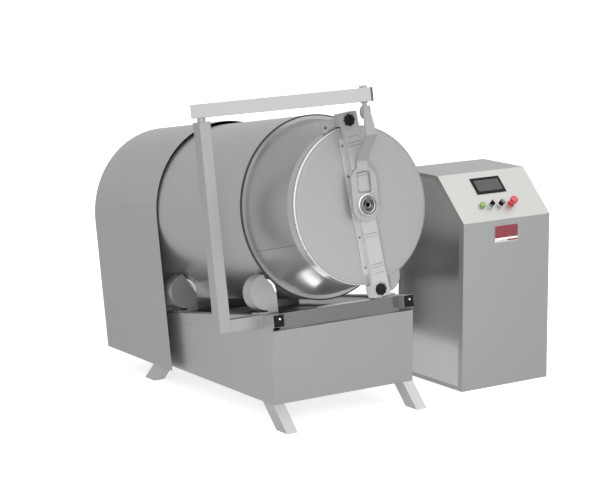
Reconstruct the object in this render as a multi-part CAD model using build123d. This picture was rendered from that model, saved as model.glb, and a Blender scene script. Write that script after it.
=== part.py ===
from build123d import *
import math
import os

# Meat vacuum tumbler, in millimetres. X is to the right, Y to the rear, Z up.
# The machine frame has its origin on the floor, in the middle of the base's front panel.
# The tilted frame (u right, v back and down the drum, w up from the rails) has its origin in the
# middle of the rails' tops, on the plane of the front panel. Its v axis is parallel to the drum's axis.

# Base and rails
TILT = 9.63
RAIL_TOP = 588.6
HALF_WIDTH = 440.0
TUBE = 64.0
TUBE_WALL = 3.0
SHEET = 3.0
BASE_BOTTOM = 124.0
BASE_LENGTH = 1165.0
FRONT_PANEL_TOP = 505.0
BASE_FLANGE = 68.0
DECK_FRONT = 122.0
RAIL_LENGTH = 1640.0
BEAM_FRONT_V = 50.0
BEAM_FRONT_HEIGHT = 85.0
BEAM_REAR_V = 1434.0
PLUG_DEPTH = 18.0

# Feet
FOOT_REACH = 125.0
FOOT_RUN = 98.0

# Drum
DRUM_AXIS_W = 507.0
DRUM_RADIUS = 479.0
DRUM_WALL = 4.0
DRUM_FRONT = 137.0
DRUM_LENGTH = 1193.0
HEAD_DEPTH = 90.0
HEAD_KNUCKLE = 42.0
BAND_RADIUS = 480.6
BAND_THICKNESS = 7.0
BAND_WIDTH = 12.0
FRONT_RING_INNER = 455.0
NECK_MOUTH_RADIUS = 398.0
NECK_WALL = 4.0
FLANGE_RADIUS = 403.5
FLANGE_REAR = -168.0
FLANGE_DEPTH = 47.0
MOUTH_RADIUS = 372.0
GASKET_THICKNESS = 4.0
GASKET_RADIUS = 392.0
VANE_HEIGHT = 95.0
VANE_THICKNESS = 6.0
VANE_COUNT = 3
VANE_TWIST = 40.0
VANE_STEPS = 5
VANE_MARGIN = 90.0
TRUNNION_RADIUS = 32.0
TRUNNION_BORE = 14.0
TRUNNION_LENGTH = 212.0

# Rollers and their guards
ROLLER_OFFSET = 378.0
ROLLER_HEIGHT = 110.0
ROLLER_WIDTH = 56.0
ROLLER_FRONT_V = 140.0
ROLLER_REAR_V = 938.0
AXLE_RADIUS = 12.0
GUARD_RADIUS = 92.0
GUARD_DEPTH = 76.0
GUARD_WALL = 4.0
GUARD_FOOT_INNER = 315.0
GUARD_FOOT_OUTER = 427.0
GUARD_FOOT_THICKNESS = 10.0
GUARD_SLOT = 5.0
GUARD_CUT_TOP = (370.5, 176.5)
GUARD_CUT_BOTTOM = (315.0, 88.0)

# Hood
HOOD_FRONT = 982.5
HOOD_DEPTH = 692.0
HOOD_HALF_WIDTH = 488.0
HOOD_ARCH_W = 516.7
HOOD_SHEET = 2.0
HOOD_BOTTOM = 119.0
SPACER = 40.0
LOUVRE_COUNT = 7
LOUVRE_LENGTH = 260.0
LOUVRE_HEIGHT = 9.0
LOUVRE_PITCH = 34.0
LOUVRE_FIRST_W = 60.0

# Rear support and drive
SUPPORT_THICKNESS = 14.0
SUPPORT_V = 1459.0
SUPPORT_TOP_HALF = 120.0
SUPPORT_CROWN = 110.0
SUPPORT_FOOT_HALF = 436.0
SUPPORT_FOOT_HEIGHT = 60.0
SUPPORT_WINDOW = 130.0
SUPPORT_BORE = 52.0
BEARING_FLANGE = 75.0
BEARING_DEPTH = 34.0
REDUCER_SIZE = 190.0
REDUCER_DEPTH = 96.0
REDUCER_GAP = 26.0
REDUCER_FLANGE = 6.0
MOTOR_RADIUS = 70.0
MOTOR_LENGTH = 225.0
MOTOR_FIN_COUNT = 18
MOTOR_FIN_HEIGHT = 9.0
MOTOR_FIN_THICKNESS = 4.0
SWIVEL_RADIUS = 30.0
PIPE_RADIUS = 20.0
PIPE_SHOULDER = 5.0
PORT_RADIUS = 18.0
PORT_LENGTH = 45.0

# Lid and its strongback bar
LID_FACE = -233.0
LID_GAP = 0.3
LID_WALL = 4.0
LID_EDGE_RADIUS = 8.0
LID_STEP_RADIUS = 377.0
LID_STEP = 1.0
BAR_ROLL = 6.25
BAR_LEFT = -36.0
BAR_RIGHT = 52.0
BAR_FACE = -262.0
BAR_WALL = 4.0
BAR_HALF_LENGTH = 350.0
BAR_FLANGE = 30.0
RIB_WIDTH = 15.0
RIB_HEIGHT = 2.5
RIB_STATIONS = (156.0, 312.0)
BLOCK_LEFT = -37.0
BLOCK_RIGHT = 57.0
BLOCK_END = 472.0
BLOCK_REAR = -196.0
BLOCK_CLEARANCE = 3.0
KNOB_STATION = 433.0
KNOB_ACROSS = -6.0
KNOB_RADIUS = 31.0
KNOB_LOBES = 8
KNOB_LOBE_RADIUS = 9.0
KNOB_DEPTH = 22.0
KNOB_BOSS_RADIUS = 13.0
KNOB_BOSS_DEPTH = 3.7
SPINDLE_RADIUS = 8.0
LUG_LEFT = -118.0
LUG_RIGHT = 30.0
LUG_TOP = 452.0
LUG_THICKNESS = 16.0
LUG_GAP = 1.5

# Davit
POST_LEFT = -687.5
POST_FRONT_V = 113.0
POST_ABOVE_BLOCKS = 20.0
POST_PIN_RADIUS = 21.0
POST_SPIGOT_RADIUS = 15.0
ARM_ABOVE_POST = 21.0
ARM_HEIGHT = 69.0
ARM_WIDTH = 64.0
ARM_TAIL = 46.0
ARM_NOSE = 37.0
ARM_CAP = 9.0
HANGER_U = -9.0
HANGER_V = -357.0
HANGER_PIN_RADIUS = 9.0
PIN_NECK_RADIUS = 12.0
PIN_NECK_FOOT = 12.0
PIN_COLLAR_RADIUS = 22.0
PIN_COLLAR_DEPTH = 8.0
PIN_NUT_RADIUS = 21.0
PIN_NUT_HEIGHT = 12.0

# Hanger
STRAP_THICKNESS = 8.0
STRAP_HALF_WIDTH = 33.0
STRAP_BELOW_ARM = 20.0
STRAP_UPPER_LENGTH = 147.0
STRAP_TOP_RIGHT = -4.0
STRAP_SHOULDER_U = 19.0
STRAP_SHOULDER_DROP = 75.0
STRAP_UPPER_V = -378.0
STRAP_BEND_LOW_W = 728.0
STRAP_LOWER_V = -276.0
PLATE_HALF_WIDTH = 78.0
PLATE_ABOVE_WINDOW = 23.0
PLATE_BELOW_AXIS = 78.0
PLATE_CORNER = 70.0
WINDOW_HALF_WIDTH = 42.0
WINDOW_LOW = 62.0
WINDOW_HIGH = 170.0
WINDOW_CORNER = 14.0
EYE_LEFT = -36.0
EYE_RIGHT = 16.0
EYE_RADIUS = 33.0
EYE_BELOW_ARM = 52.0
HUB_RADIUS = 57.0
HUB_RECESS_RADIUS = 39.0
HUB_FRONT = -295.0
HUB_RECESS_DEPTH = 10.0
HUB_SLEEVE_RADIUS = 44.0
HUB_BORE = 25.0
NUT_RADIUS = 37.0
NUT_DEPTH = 6.0
NUT_HOLE = 13.0
NUT_POCKET_INNER = 19.0
NUT_POCKET_OUTER = 32.0
NUT_POCKET_ANGLE = 74.0

# Running clearances
SHAFT_CLEARANCE = 0.06
BODY_CLEARANCE = 0.3

# Control cabinet, which stands by itself on the floor
CABINET_LEFT = 794.0
CABINET_FRONT = 24.2
CABINET_WIDTH = 596.0
CABINET_DEPTH = 575.0
CABINET_HEIGHT = 1148.7
CABINET_FACE_HEIGHT = 919.6
CABINET_SLOPE_DEPTH = 230.0
CABINET_SHEET = 2.0
COVER_FRONT_INSET = 36.0
COVER_INSET = 22.0
COVER_GAP = 0.6
SCREEN_WIDTH = 198.0
SCREEN_HEIGHT = 107.0
SCREEN_X = 292.0
SCREEN_S = 228.0
SCREEN_THICKNESS = 5.0
SCREEN_BEZEL = 17.0
SCREEN_RECESS = 1.0
START_X = 181.0
START_S = 101.0
START_COLLAR_RADIUS = 16.5
SELECTOR_X = 238.0
SELECTOR_S = 96.0
SELECTOR_COLLAR_RADIUS = 16.0
KEY_X = 305.0
KEY_S = 96.0
KEY_COLLAR_RADIUS = 17.0
ESTOP_X = 375.0
ESTOP_S = 91.0
ESTOP_COLLAR_RADIUS = 21.0
COLLAR_HEIGHT = 5.0
COLLAR_BORE = 11.0
SWITCH_STEM_RADIUS = 10.5
BUTTON_RADIUS = 17.0
BUTTON_HEIGHT = 9.0
BUTTON_TRAVEL = 4.0
SELECTOR_RADIUS = 14.0
SELECTOR_HEIGHT = 33.0
KEY_RADIUS = 15.0
KEY_HEIGHT = 34.0
ESTOP_RADIUS = 22.0
ESTOP_HEIGHT = 41.0
ESTOP_TRAVEL = 5.0
PUMP_LENGTH = 330.0
PUMP_WIDTH = 220.0
PUMP_HEIGHT = 210.0

# Worked-out values
TILT_RAD = math.radians(TILT)
TILTED = Location((0, 0, RAIL_TOP), (-TILT, 0, 0))
DRUM_REAR = DRUM_FRONT + DRUM_LENGTH
TRUNNION_FRONT = DRUM_REAR + HEAD_DEPTH
FLANGE_FRONT = FLANGE_REAR - FLANGE_DEPTH
GASKET_FRONT = FLANGE_FRONT - GASKET_THICKNESS
LID_REAR = GASKET_FRONT - LID_GAP
ROLLER_RADIUS = math.hypot(ROLLER_OFFSET, DRUM_AXIS_W - ROLLER_HEIGHT) - DRUM_RADIUS - BODY_CLEARANCE
HOOD_REAR = HOOD_FRONT + HOOD_DEPTH
POST_U = POST_LEFT + TUBE / 2
POST_V = POST_FRONT_V + TUBE / 2
POST_TOP_W = DRUM_AXIS_W + BLOCK_END + POST_ABOVE_BLOCKS
ARM_BOTTOM_W = POST_TOP_W + ARM_ABOVE_POST
ARM_TOP_W = ARM_BOTTOM_W + ARM_HEIGHT
EYE_W = ARM_BOTTOM_W - EYE_BELOW_ARM
STRAP_TOP_W = ARM_BOTTOM_W - STRAP_BELOW_ARM
STRAP_BEND_TOP_W = STRAP_TOP_W - STRAP_UPPER_LENGTH
PLATE_TOP_W = DRUM_AXIS_W + WINDOW_HIGH + PLATE_ABOVE_WINDOW
ARM_REACH = math.hypot(HANGER_U - POST_U, HANGER_V - POST_V)
ARM_ANGLE = math.degrees(math.atan2(HANGER_V - POST_V, HANGER_U - POST_U))
SWITCH_SLOPE = math.degrees(math.atan2(CABINET_HEIGHT - CABINET_FACE_HEIGHT, CABINET_SLOPE_DEPTH))
SLOPE_LENGTH = math.hypot(CABINET_HEIGHT - CABINET_FACE_HEIGHT, CABINET_SLOPE_DEPTH)
SLOPE = Location((CABINET_LEFT, CABINET_FRONT, CABINET_FACE_HEIGHT), (SWITCH_SLOPE, 0, 0))
LID_FRAME = Pos(0, 0, DRUM_AXIS_W) * Rot(0, -BAR_ROLL, 0)


def block(x0, x1, y0, y1, z0, z1):
    """Box between two corners, in the frame that the caller works in."""
    middle = Pos((x0 + x1) / 2, (y0 + y1) / 2, (z0 + z1) / 2)
    return middle * Box(abs(x1 - x0), abs(y1 - y0), abs(z1 - z0))


def bar_along_v(u, w, v0, v1, radius):
    """Round bar parallel to the drum's axis."""
    return Pos(u, (v0 + v1) / 2, w) * Rot(90, 0, 0) * Cylinder(radius, abs(v1 - v0))


def bar_upright(u, v, w0, w1, radius):
    """Round bar square to the rails."""
    return Pos(u, v, (w0 + w1) / 2) * Cylinder(radius, abs(w1 - w0))


def ring_along_v(u, w, v0, v1, outer, inner):
    """Flat ring parallel to the drum's face."""
    return bar_along_v(u, w, v0, v1, outer) - bar_along_v(u, w, v0, v1, inner)


def turned(points):
    """Solid turned about the drum's axis from (radius, v) points."""
    face = make_face(Polyline(*points, close=True))
    return Pos(0, 0, DRUM_AXIS_W) * revolve(face, Axis.Y)


def side_profile(points, x0, x1):
    """Plate with a (y, z) outline between two x places."""
    face = make_face(Polyline(*[(x0, y, z) for y, z in points], close=True))
    return extrude(face, amount=x1 - x0, dir=(1, 0, 0))


def front_profile(points, v0, v1):
    """Plate with a (u, w) outline between two v places."""
    face = make_face(Polyline(*[(u, v0, w) for u, w in points], close=True))
    return extrude(face, amount=v1 - v0, dir=(0, 1, 0))


def mirrored(shape):
    """The same piece on the other side of the machine."""
    return mirror(shape, about=Plane.YZ)


def rail_line(y, below):
    """Height, at a distance y behind the front panel, of a line that runs below the rails' tops."""
    return RAIL_TOP - below / math.cos(TILT_RAD) - y * math.tan(TILT_RAD)


# Base
def base_front_panel():
    """Front panel with a return flange along its top and bottom."""
    wall = block(-HALF_WIDTH, HALF_WIDTH, 0, SHEET, BASE_BOTTOM, FRONT_PANEL_TOP)
    inner = HALF_WIDTH - SHEET
    top = block(-inner, inner, SHEET, SHEET * 8, FRONT_PANEL_TOP - SHEET, FRONT_PANEL_TOP)
    return wall + top


def base_side_panel():
    """Right side panel: its top follows the rail, its bottom is folded inwards over the feet."""
    outline = [
        (SHEET, BASE_BOTTOM),
        (BASE_LENGTH, BASE_BOTTOM),
        (BASE_LENGTH, rail_line(BASE_LENGTH, TUBE)),
        (SHEET, rail_line(SHEET, TUBE)),
    ]
    wall = side_profile(outline, HALF_WIDTH - SHEET, HALF_WIDTH)
    fold = block(
        HALF_WIDTH - BASE_FLANGE, HALF_WIDTH - SHEET,
        SHEET, BASE_LENGTH, BASE_BOTTOM, BASE_BOTTOM + SHEET,
    )
    return wall + fold


def base_rear_panel():
    """Rear panel, up to the deck."""
    inner = HALF_WIDTH - SHEET
    top = rail_line(BASE_LENGTH, TUBE + SHEET)
    return block(-inner, inner, BASE_LENGTH - SHEET, BASE_LENGTH, BASE_BOTTOM + SHEET, top)


def base_deck():
    """Sloping deck under the rails, which catches drips from the drum."""
    inner = HALF_WIDTH - SHEET
    end = (BASE_LENGTH - SHEET) / math.cos(TILT_RAD) - TUBE
    return TILTED * block(-inner, inner, DECK_FRONT, end, -TUBE - SHEET, -TUBE)


def square_tube(x0, x1, y0, y1, z0, z1, along):
    """Square tube: along names the open direction, or is closed for a tube capped at both ends."""
    wall = {axis: (0 if axis == along else TUBE_WALL) for axis in "xyz"}
    hollow = block(
        x0 + wall["x"], x1 - wall["x"],
        y0 + wall["y"], y1 - wall["y"],
        z0 + wall["z"], z1 - wall["z"],
    )
    return block(x0, x1, y0, y1, z0, z1) - hollow


def right_rail():
    """Right inclined rail."""
    return TILTED * square_tube(HALF_WIDTH - TUBE, HALF_WIDTH, 0, RAIL_LENGTH, -TUBE, 0, "y")


def rail_end_plugs():
    """Black plugs in the rails' front ends."""
    inner = TUBE - 2 * TUBE_WALL
    middle = HALF_WIDTH - TUBE / 2
    plug = block(
        middle - inner / 2, middle + inner / 2,
        0, PLUG_DEPTH, -TUBE + TUBE_WALL, -TUBE_WALL,
    )
    return TILTED * Compound([plug, mirrored(plug)])


def rail_cross_beams():
    """Front and rear beams between the rails."""
    inner = HALF_WIDTH - TUBE
    front = square_tube(-inner, inner, BEAM_FRONT_V, BEAM_FRONT_V + TUBE, -BEAM_FRONT_HEIGHT, 0, "x")
    rear = square_tube(-inner, inner, BEAM_REAR_V, BEAM_REAR_V + TUBE, -TUBE, 0, "x")
    return TILTED * Compound([front, rear])


def feet(top_edge, outwards):
    """Pair of square-tube feet that splay outwards from the base's bottom to the floor."""
    outline = [
        (top_edge, BASE_BOTTOM),
        (top_edge - outwards * FOOT_RUN, BASE_BOTTOM),
        (top_edge + outwards * (FOOT_REACH - FOOT_RUN), 0),
        (top_edge + outwards * FOOT_REACH, 0),
    ]
    foot = side_profile(outline, HALF_WIDTH - TUBE, HALF_WIDTH)
    return Compound([foot, mirrored(foot)])


# Drum
def drum_shell():
    """Shell with its front ring and its dished rear head."""
    radius = DRUM_RADIUS
    inside = radius - DRUM_WALL
    head = DRUM_REAR + HEAD_DEPTH
    lip = DRUM_FRONT + BAND_WIDTH
    knuckle_r = radius - HEAD_KNUCKLE
    crown = (knuckle_r ** 2 + HEAD_DEPTH ** 2 - HEAD_KNUCKLE ** 2) / (2 * (HEAD_DEPTH - HEAD_KNUCKLE))
    crown_angle = math.degrees(math.asin(knuckle_r / (crown - HEAD_KNUCKLE)))
    outline = [
        (FRONT_RING_INNER, DRUM_FRONT),
        (BAND_RADIUS - BAND_THICKNESS, DRUM_FRONT),
        (BAND_RADIUS - BAND_THICKNESS, lip),
        (radius, lip),
        (radius, DRUM_REAR),
    ]
    with BuildPart() as shell:
        with BuildSketch(Plane.XY):
            with BuildLine():
                Polyline(*outline)
                CenterArc((knuckle_r, DRUM_REAR), HEAD_KNUCKLE, 0, 90 - crown_angle)
                CenterArc((0, head - crown), crown, 90 - crown_angle, crown_angle)
                Line((0, head), (0, head - DRUM_WALL))
                CenterArc((0, head - crown), crown - DRUM_WALL, 90 - crown_angle, crown_angle)
                CenterArc((knuckle_r, DRUM_REAR), HEAD_KNUCKLE - DRUM_WALL, 0, 90 - crown_angle)
                Polyline(
                    (inside, DRUM_REAR),
                    (inside, lip + DRUM_WALL),
                    (FRONT_RING_INNER, lip + DRUM_WALL),
                    (FRONT_RING_INNER, DRUM_FRONT),
                )
            make_face()
        revolve(axis=Axis.Y)
    bore = Pos(0, head, 0) * Rot(90, 0, 0) * Cylinder(TRUNNION_BORE, HEAD_DEPTH)
    return TILTED * Pos(0, 0, DRUM_AXIS_W) * (shell.part - bore)


def drum_edge_band():
    """Dark band round the drum's front edge."""
    band = ring_along_v(
        0, DRUM_AXIS_W, DRUM_FRONT, DRUM_FRONT + BAND_WIDTH,
        BAND_RADIUS, BAND_RADIUS - BAND_THICKNESS,
    )
    return TILTED * band


def drum_neck():
    """Conical neck between the front ring and the mouth flange."""
    return TILTED * turned([
        (FRONT_RING_INNER, DRUM_FRONT),
        (NECK_MOUTH_RADIUS, FLANGE_REAR),
        (NECK_MOUTH_RADIUS - NECK_WALL, FLANGE_REAR),
        (FRONT_RING_INNER - NECK_WALL, DRUM_FRONT),
    ])


def mouth_flange():
    """Deep ring round the mouth, which the lid closes on."""
    flange = ring_along_v(0, DRUM_AXIS_W, FLANGE_FRONT, FLANGE_REAR, FLANGE_RADIUS, MOUTH_RADIUS)
    return TILTED * flange


def mouth_gasket():
    """Flat gasket on the mouth flange."""
    gasket = ring_along_v(0, DRUM_AXIS_W, GASKET_FRONT, FLANGE_FRONT, FLANGE_RADIUS, MOUTH_RADIUS)
    return TILTED * gasket


def mixing_vanes():
    """Twisted vanes along the inside of the shell, which lift and turn the meat."""
    wall = DRUM_RADIUS - DRUM_WALL - BODY_CLEARANCE
    middle = wall - VANE_HEIGHT / 2
    first = DRUM_FRONT + VANE_MARGIN
    pitch = (DRUM_LENGTH - 2 * VANE_MARGIN) / VANE_STEPS
    vanes = []
    for number in range(VANE_COUNT):
        sections = []
        for step in range(VANE_STEPS + 1):
            turn = number * 360 / VANE_COUNT + step * VANE_TWIST / VANE_STEPS
            place = Pos(0, first + step * pitch, DRUM_AXIS_W) * Rot(0, -turn, 0) * Pos(middle, 0, 0)
            sections.append(place * Rot(90, 0, 0) * Rectangle(VANE_HEIGHT, VANE_THICKNESS))
        vanes.append(loft(sections, ruled=True))
    return TILTED * Compound(vanes)


def drum_trunnion():
    """Hollow trunnion on the rear head, which turns in the rear bearing and carries the vacuum."""
    trunnion = ring_along_v(
        0, DRUM_AXIS_W, TRUNNION_FRONT, TRUNNION_FRONT + TRUNNION_LENGTH,
        TRUNNION_RADIUS, TRUNNION_BORE,
    )
    return TILTED * trunnion


def clamp_lugs():
    """Lugs on the mouth flange behind the lid's clamp blocks, shaped to the flange."""
    front = BLOCK_REAR + LUG_GAP
    rear = front + LUG_THICKNESS
    plate = block(LUG_LEFT, LUG_RIGHT, front, rear, FLANGE_RADIUS - LUG_THICKNESS, LUG_TOP)
    flange = bar_along_v(0, DRUM_AXIS_W, front - 1, rear + 1, FLANGE_RADIUS)
    lugs = []
    for turn in (0, 180):
        lug = LID_FRAME * Rot(0, turn, 0) * plate - flange
        lugs.append(lug)
    return TILTED * Compound([solid for lug in lugs for solid in lug.solids()])


# Rollers
def roller_guard(front_v):
    """Right guard: a round hood with a flat foot, cut back on a slant towards the drum."""
    def outline(inset):
        inner_side = GUARD_FOOT_INNER - ROLLER_OFFSET + inset
        disc = Circle(GUARD_RADIUS - inset) & Pos(inner_side + GUARD_RADIUS, 0) * Rectangle(
            2 * GUARD_RADIUS, 2 * GUARD_RADIUS,
        )
        upright_height = ROLLER_HEIGHT - inset
        upright = Pos(inner_side / 2, -upright_height / 2) * Rectangle(-inner_side, upright_height)
        return disc + upright

    depth = GUARD_DEPTH
    stand = Pos(ROLLER_OFFSET, front_v, ROLLER_HEIGHT) * Rot(90, 0, 0)
    solid = extrude(outline(0), amount=-depth)
    hollow = extrude(outline(GUARD_WALL), amount=-(depth - 2 * GUARD_WALL))
    shell = stand * solid - stand * Pos(0, 0, -GUARD_WALL) * hollow
    shell += block(GUARD_FOOT_INNER, GUARD_FOOT_OUTER, front_v, front_v + depth, 0, GUARD_FOOT_THICKNESS)
    top_u, top_w = GUARD_CUT_TOP
    low_u, low_w = GUARD_CUT_BOTTOM
    slope = (low_w - top_w) / (low_u - top_u)
    reach = 2 * GUARD_RADIUS
    cut = front_profile(
        [
            (low_u, low_w),
            (top_u + reach, top_w + reach * slope),
            (top_u - reach, top_w + reach * slope),
            (low_u - reach, low_w),
        ],
        front_v - 1, front_v + depth + 1,
    )
    margin = (GUARD_DEPTH - ROLLER_WIDTH) / 2 - GUARD_SLOT
    slot = bar_along_v(
        ROLLER_OFFSET, ROLLER_HEIGHT, front_v + margin, front_v + GUARD_DEPTH - margin,
        ROLLER_RADIUS + GUARD_SLOT,
    )
    return shell - cut - slot


def roller_guards(front_v):
    """Guards of the left and right roller at one station."""
    guard = roller_guard(front_v)
    return TILTED * Compound([mirrored(guard), guard])


def roller_axles():
    """Axles of the four rollers, between their guards' walls."""
    axles = []
    for front_v in (ROLLER_FRONT_V, ROLLER_REAR_V):
        axle = bar_along_v(
            ROLLER_OFFSET, ROLLER_HEIGHT, front_v + GUARD_WALL, front_v + GUARD_DEPTH - GUARD_WALL,
            AXLE_RADIUS,
        )
        axles += [axle, mirrored(axle)]
    return TILTED * Compound(axles)


def roller_wheel(side, front_v):
    """Nylon wheel with a recessed web, on its axle."""
    start = front_v + (GUARD_DEPTH - ROLLER_WIDTH) / 2
    end = start + ROLLER_WIDTH
    wheel = ring_along_v(
        side * ROLLER_OFFSET, ROLLER_HEIGHT, start, end, ROLLER_RADIUS, AXLE_RADIUS + SHAFT_CLEARANCE,
    )
    recess = ROLLER_WIDTH / 6
    for face in (start, end - recess):
        wheel -= ring_along_v(
            side * ROLLER_OFFSET, ROLLER_HEIGHT, face, face + recess,
            ROLLER_RADIUS - AXLE_RADIUS, AXLE_RADIUS * 2,
        )
    return TILTED * wheel


# Hood
def above_hood_bottom(shape):
    """Cuts a piece of the hood level along its bottom."""
    reach = 4 * HOOD_DEPTH
    return shape & block(-reach, reach, -reach, reach, HOOD_BOTTOM, HOOD_BOTTOM + reach)


def hood_section(half_width, v0, v1):
    """Arched section of the hood with straight sides, between two v places."""
    low = -RAIL_TOP
    with BuildPart() as section:
        with BuildSketch(Plane.XZ.offset(-v0)):
            with BuildLine():
                Line((-half_width, low), (-half_width, HOOD_ARCH_W))
                ThreePointArc(
                    (-half_width, HOOD_ARCH_W), (0, HOOD_ARCH_W + half_width), (half_width, HOOD_ARCH_W),
                )
                Line((half_width, HOOD_ARCH_W), (half_width, low))
                Line((half_width, low), (-half_width, low))
            make_face()
        extrude(amount=-(v1 - v0))
    return section.part


def hood_shell():
    """Arched sheet over the drum's rear half, open in front and below."""
    outer = hood_section(HOOD_HALF_WIDTH, HOOD_FRONT, HOOD_REAR)
    inner = hood_section(HOOD_HALF_WIDTH - HOOD_SHEET, HOOD_FRONT - 1, HOOD_REAR + 1)
    return above_hood_bottom(TILTED * (outer - inner))


def hood_rear_wall():
    """Rear wall with louvres for the motor and a hole for the vacuum pipe."""
    wall = hood_section(HOOD_HALF_WIDTH - HOOD_SHEET, HOOD_REAR - HOOD_SHEET, HOOD_REAR)
    for number in range(LOUVRE_COUNT):
        low = LOUVRE_FIRST_W + number * LOUVRE_PITCH
        wall -= block(
            -LOUVRE_LENGTH / 2, LOUVRE_LENGTH / 2,
            HOOD_REAR - 2 * HOOD_SHEET, HOOD_REAR + HOOD_SHEET, low, low + LOUVRE_HEIGHT,
        )
    wall -= bar_along_v(0, DRUM_AXIS_W, HOOD_REAR - 2 * HOOD_SHEET, HOOD_REAR + HOOD_SHEET, PIPE_RADIUS)
    return above_hood_bottom(TILTED * wall)


def hood_spacers():
    """Blocks that hold the hood's sides off the base's side panels."""
    spacers = []
    for height in (BASE_BOTTOM + SPACER, BASE_BOTTOM + 3 * SPACER):
        end = BASE_LENGTH - SPACER
        spacer = block(
            HALF_WIDTH, HOOD_HALF_WIDTH - HOOD_SHEET, end - SPACER, end, height, height + SPACER,
        )
        spacers += [spacer, mirrored(spacer)]
    return Compound(spacers)


# Rear support and drive
def rear_support():
    """Plate across the rails that carries the drum's rear bearing and the drive."""
    top = DRUM_AXIS_W + SUPPORT_CROWN
    shoulder = DRUM_AXIS_W - SUPPORT_CROWN
    outline = [
        (-SUPPORT_FOOT_HALF, 0),
        (SUPPORT_FOOT_HALF, 0),
        (SUPPORT_FOOT_HALF, SUPPORT_FOOT_HEIGHT),
        (SUPPORT_TOP_HALF, shoulder),
        (SUPPORT_TOP_HALF, top),
        (-SUPPORT_TOP_HALF, top),
        (-SUPPORT_TOP_HALF, shoulder),
        (-SUPPORT_FOOT_HALF, SUPPORT_FOOT_HEIGHT),
    ]
    rear = SUPPORT_V + SUPPORT_THICKNESS
    plate = front_profile(outline, SUPPORT_V, rear)
    plate -= bar_along_v(0, DRUM_AXIS_W, SUPPORT_V - 1, rear + 1, SUPPORT_BORE)
    window = SUPPORT_WINDOW
    for side in (-1, 1):
        plate -= front_profile(
            [
                (side * window * 0.35, SUPPORT_FOOT_HEIGHT),
                (side * window * 2.3, SUPPORT_FOOT_HEIGHT),
                (side * window * 0.35, shoulder - SUPPORT_FOOT_HEIGHT),
            ],
            SUPPORT_V - 1, rear + 1,
        )
    return TILTED * plate


def rear_bearing():
    """Flange bearing on the rear support."""
    front = SUPPORT_V - BEARING_DEPTH / 3
    bore = TRUNNION_RADIUS + SHAFT_CLEARANCE
    barrel = ring_along_v(0, DRUM_AXIS_W, front, SUPPORT_V + SUPPORT_THICKNESS, SUPPORT_BORE, bore)
    flange = ring_along_v(0, DRUM_AXIS_W, front, SUPPORT_V, BEARING_FLANGE, bore)
    return TILTED * (barrel + flange)


def reducer_front():
    return SUPPORT_V + SUPPORT_THICKNESS + REDUCER_GAP


def gear_reducer():
    """Hollow-shaft gear reducer on the trunnion, bolted to the rear support by three bosses."""
    front = reducer_front()
    rear = front + REDUCER_DEPTH
    half = REDUCER_SIZE / 2
    case = block(-half, half, front, rear, DRUM_AXIS_W - half, DRUM_AXIS_W + half)
    case = fillet(case.edges().filter_by(Axis.Y), REDUCER_SIZE / 8)
    corner = half - REDUCER_SIZE / 8
    for u, w in ((-corner, corner), (corner, corner), (-corner, -corner)):
        case += bar_along_v(u, DRUM_AXIS_W + w, SUPPORT_V + SUPPORT_THICKNESS, front, REDUCER_SIZE / 12)
    case += bar_along_v(0, DRUM_AXIS_W, rear, rear + REDUCER_FLANGE, BEARING_FLANGE)
    case -= bar_along_v(
        0, DRUM_AXIS_W, SUPPORT_V, rear + 2 * REDUCER_FLANGE, TRUNNION_RADIUS + SHAFT_CLEARANCE,
    )
    return TILTED * case


def drive_motor():
    """Finned motor hanging below the reducer."""
    top = DRUM_AXIS_W - REDUCER_SIZE / 2
    v = reducer_front() + REDUCER_DEPTH / 2
    core = MOTOR_RADIUS - MOTOR_FIN_HEIGHT
    flange = MOTOR_LENGTH / 14
    motor = bar_upright(0, v, top - flange, top, MOTOR_RADIUS - MOTOR_FIN_HEIGHT / 3)
    body_end = top - MOTOR_LENGTH * 0.74
    motor += bar_upright(0, v, body_end, top - flange, core)
    length = top - flange - body_end
    for number in range(MOTOR_FIN_COUNT):
        turn = number * 360 / MOTOR_FIN_COUNT
        fin = Box(MOTOR_FIN_HEIGHT * 2, MOTOR_FIN_THICKNESS, length)
        place = Pos(0, v, body_end + length / 2) * Rot(0, 0, turn) * Pos(core, 0, 0)
        motor += place * fin
    motor += bar_upright(0, v, top - MOTOR_LENGTH, body_end, MOTOR_RADIUS)
    return TILTED * motor


def vacuum_swivel():
    """Rotary union behind the trunnion, with the pipe that goes out through the rear wall."""
    start = TRUNNION_FRONT + TRUNNION_LENGTH + BODY_CLEARANCE
    union_end = (start + HOOD_REAR) / 2
    union = bar_along_v(0, DRUM_AXIS_W, start, union_end, SWIVEL_RADIUS)
    shoulder = HOOD_REAR + PIPE_SHOULDER
    pipe = bar_along_v(0, DRUM_AXIS_W, union_end, shoulder, PIPE_RADIUS)
    port = bar_along_v(0, DRUM_AXIS_W, shoulder, shoulder + PORT_LENGTH, PORT_RADIUS)
    bore = bar_along_v(0, DRUM_AXIS_W, start - 1, shoulder + PORT_LENGTH + 1, TRUNNION_BORE)
    return TILTED * (union + pipe + port - bore)


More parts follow.
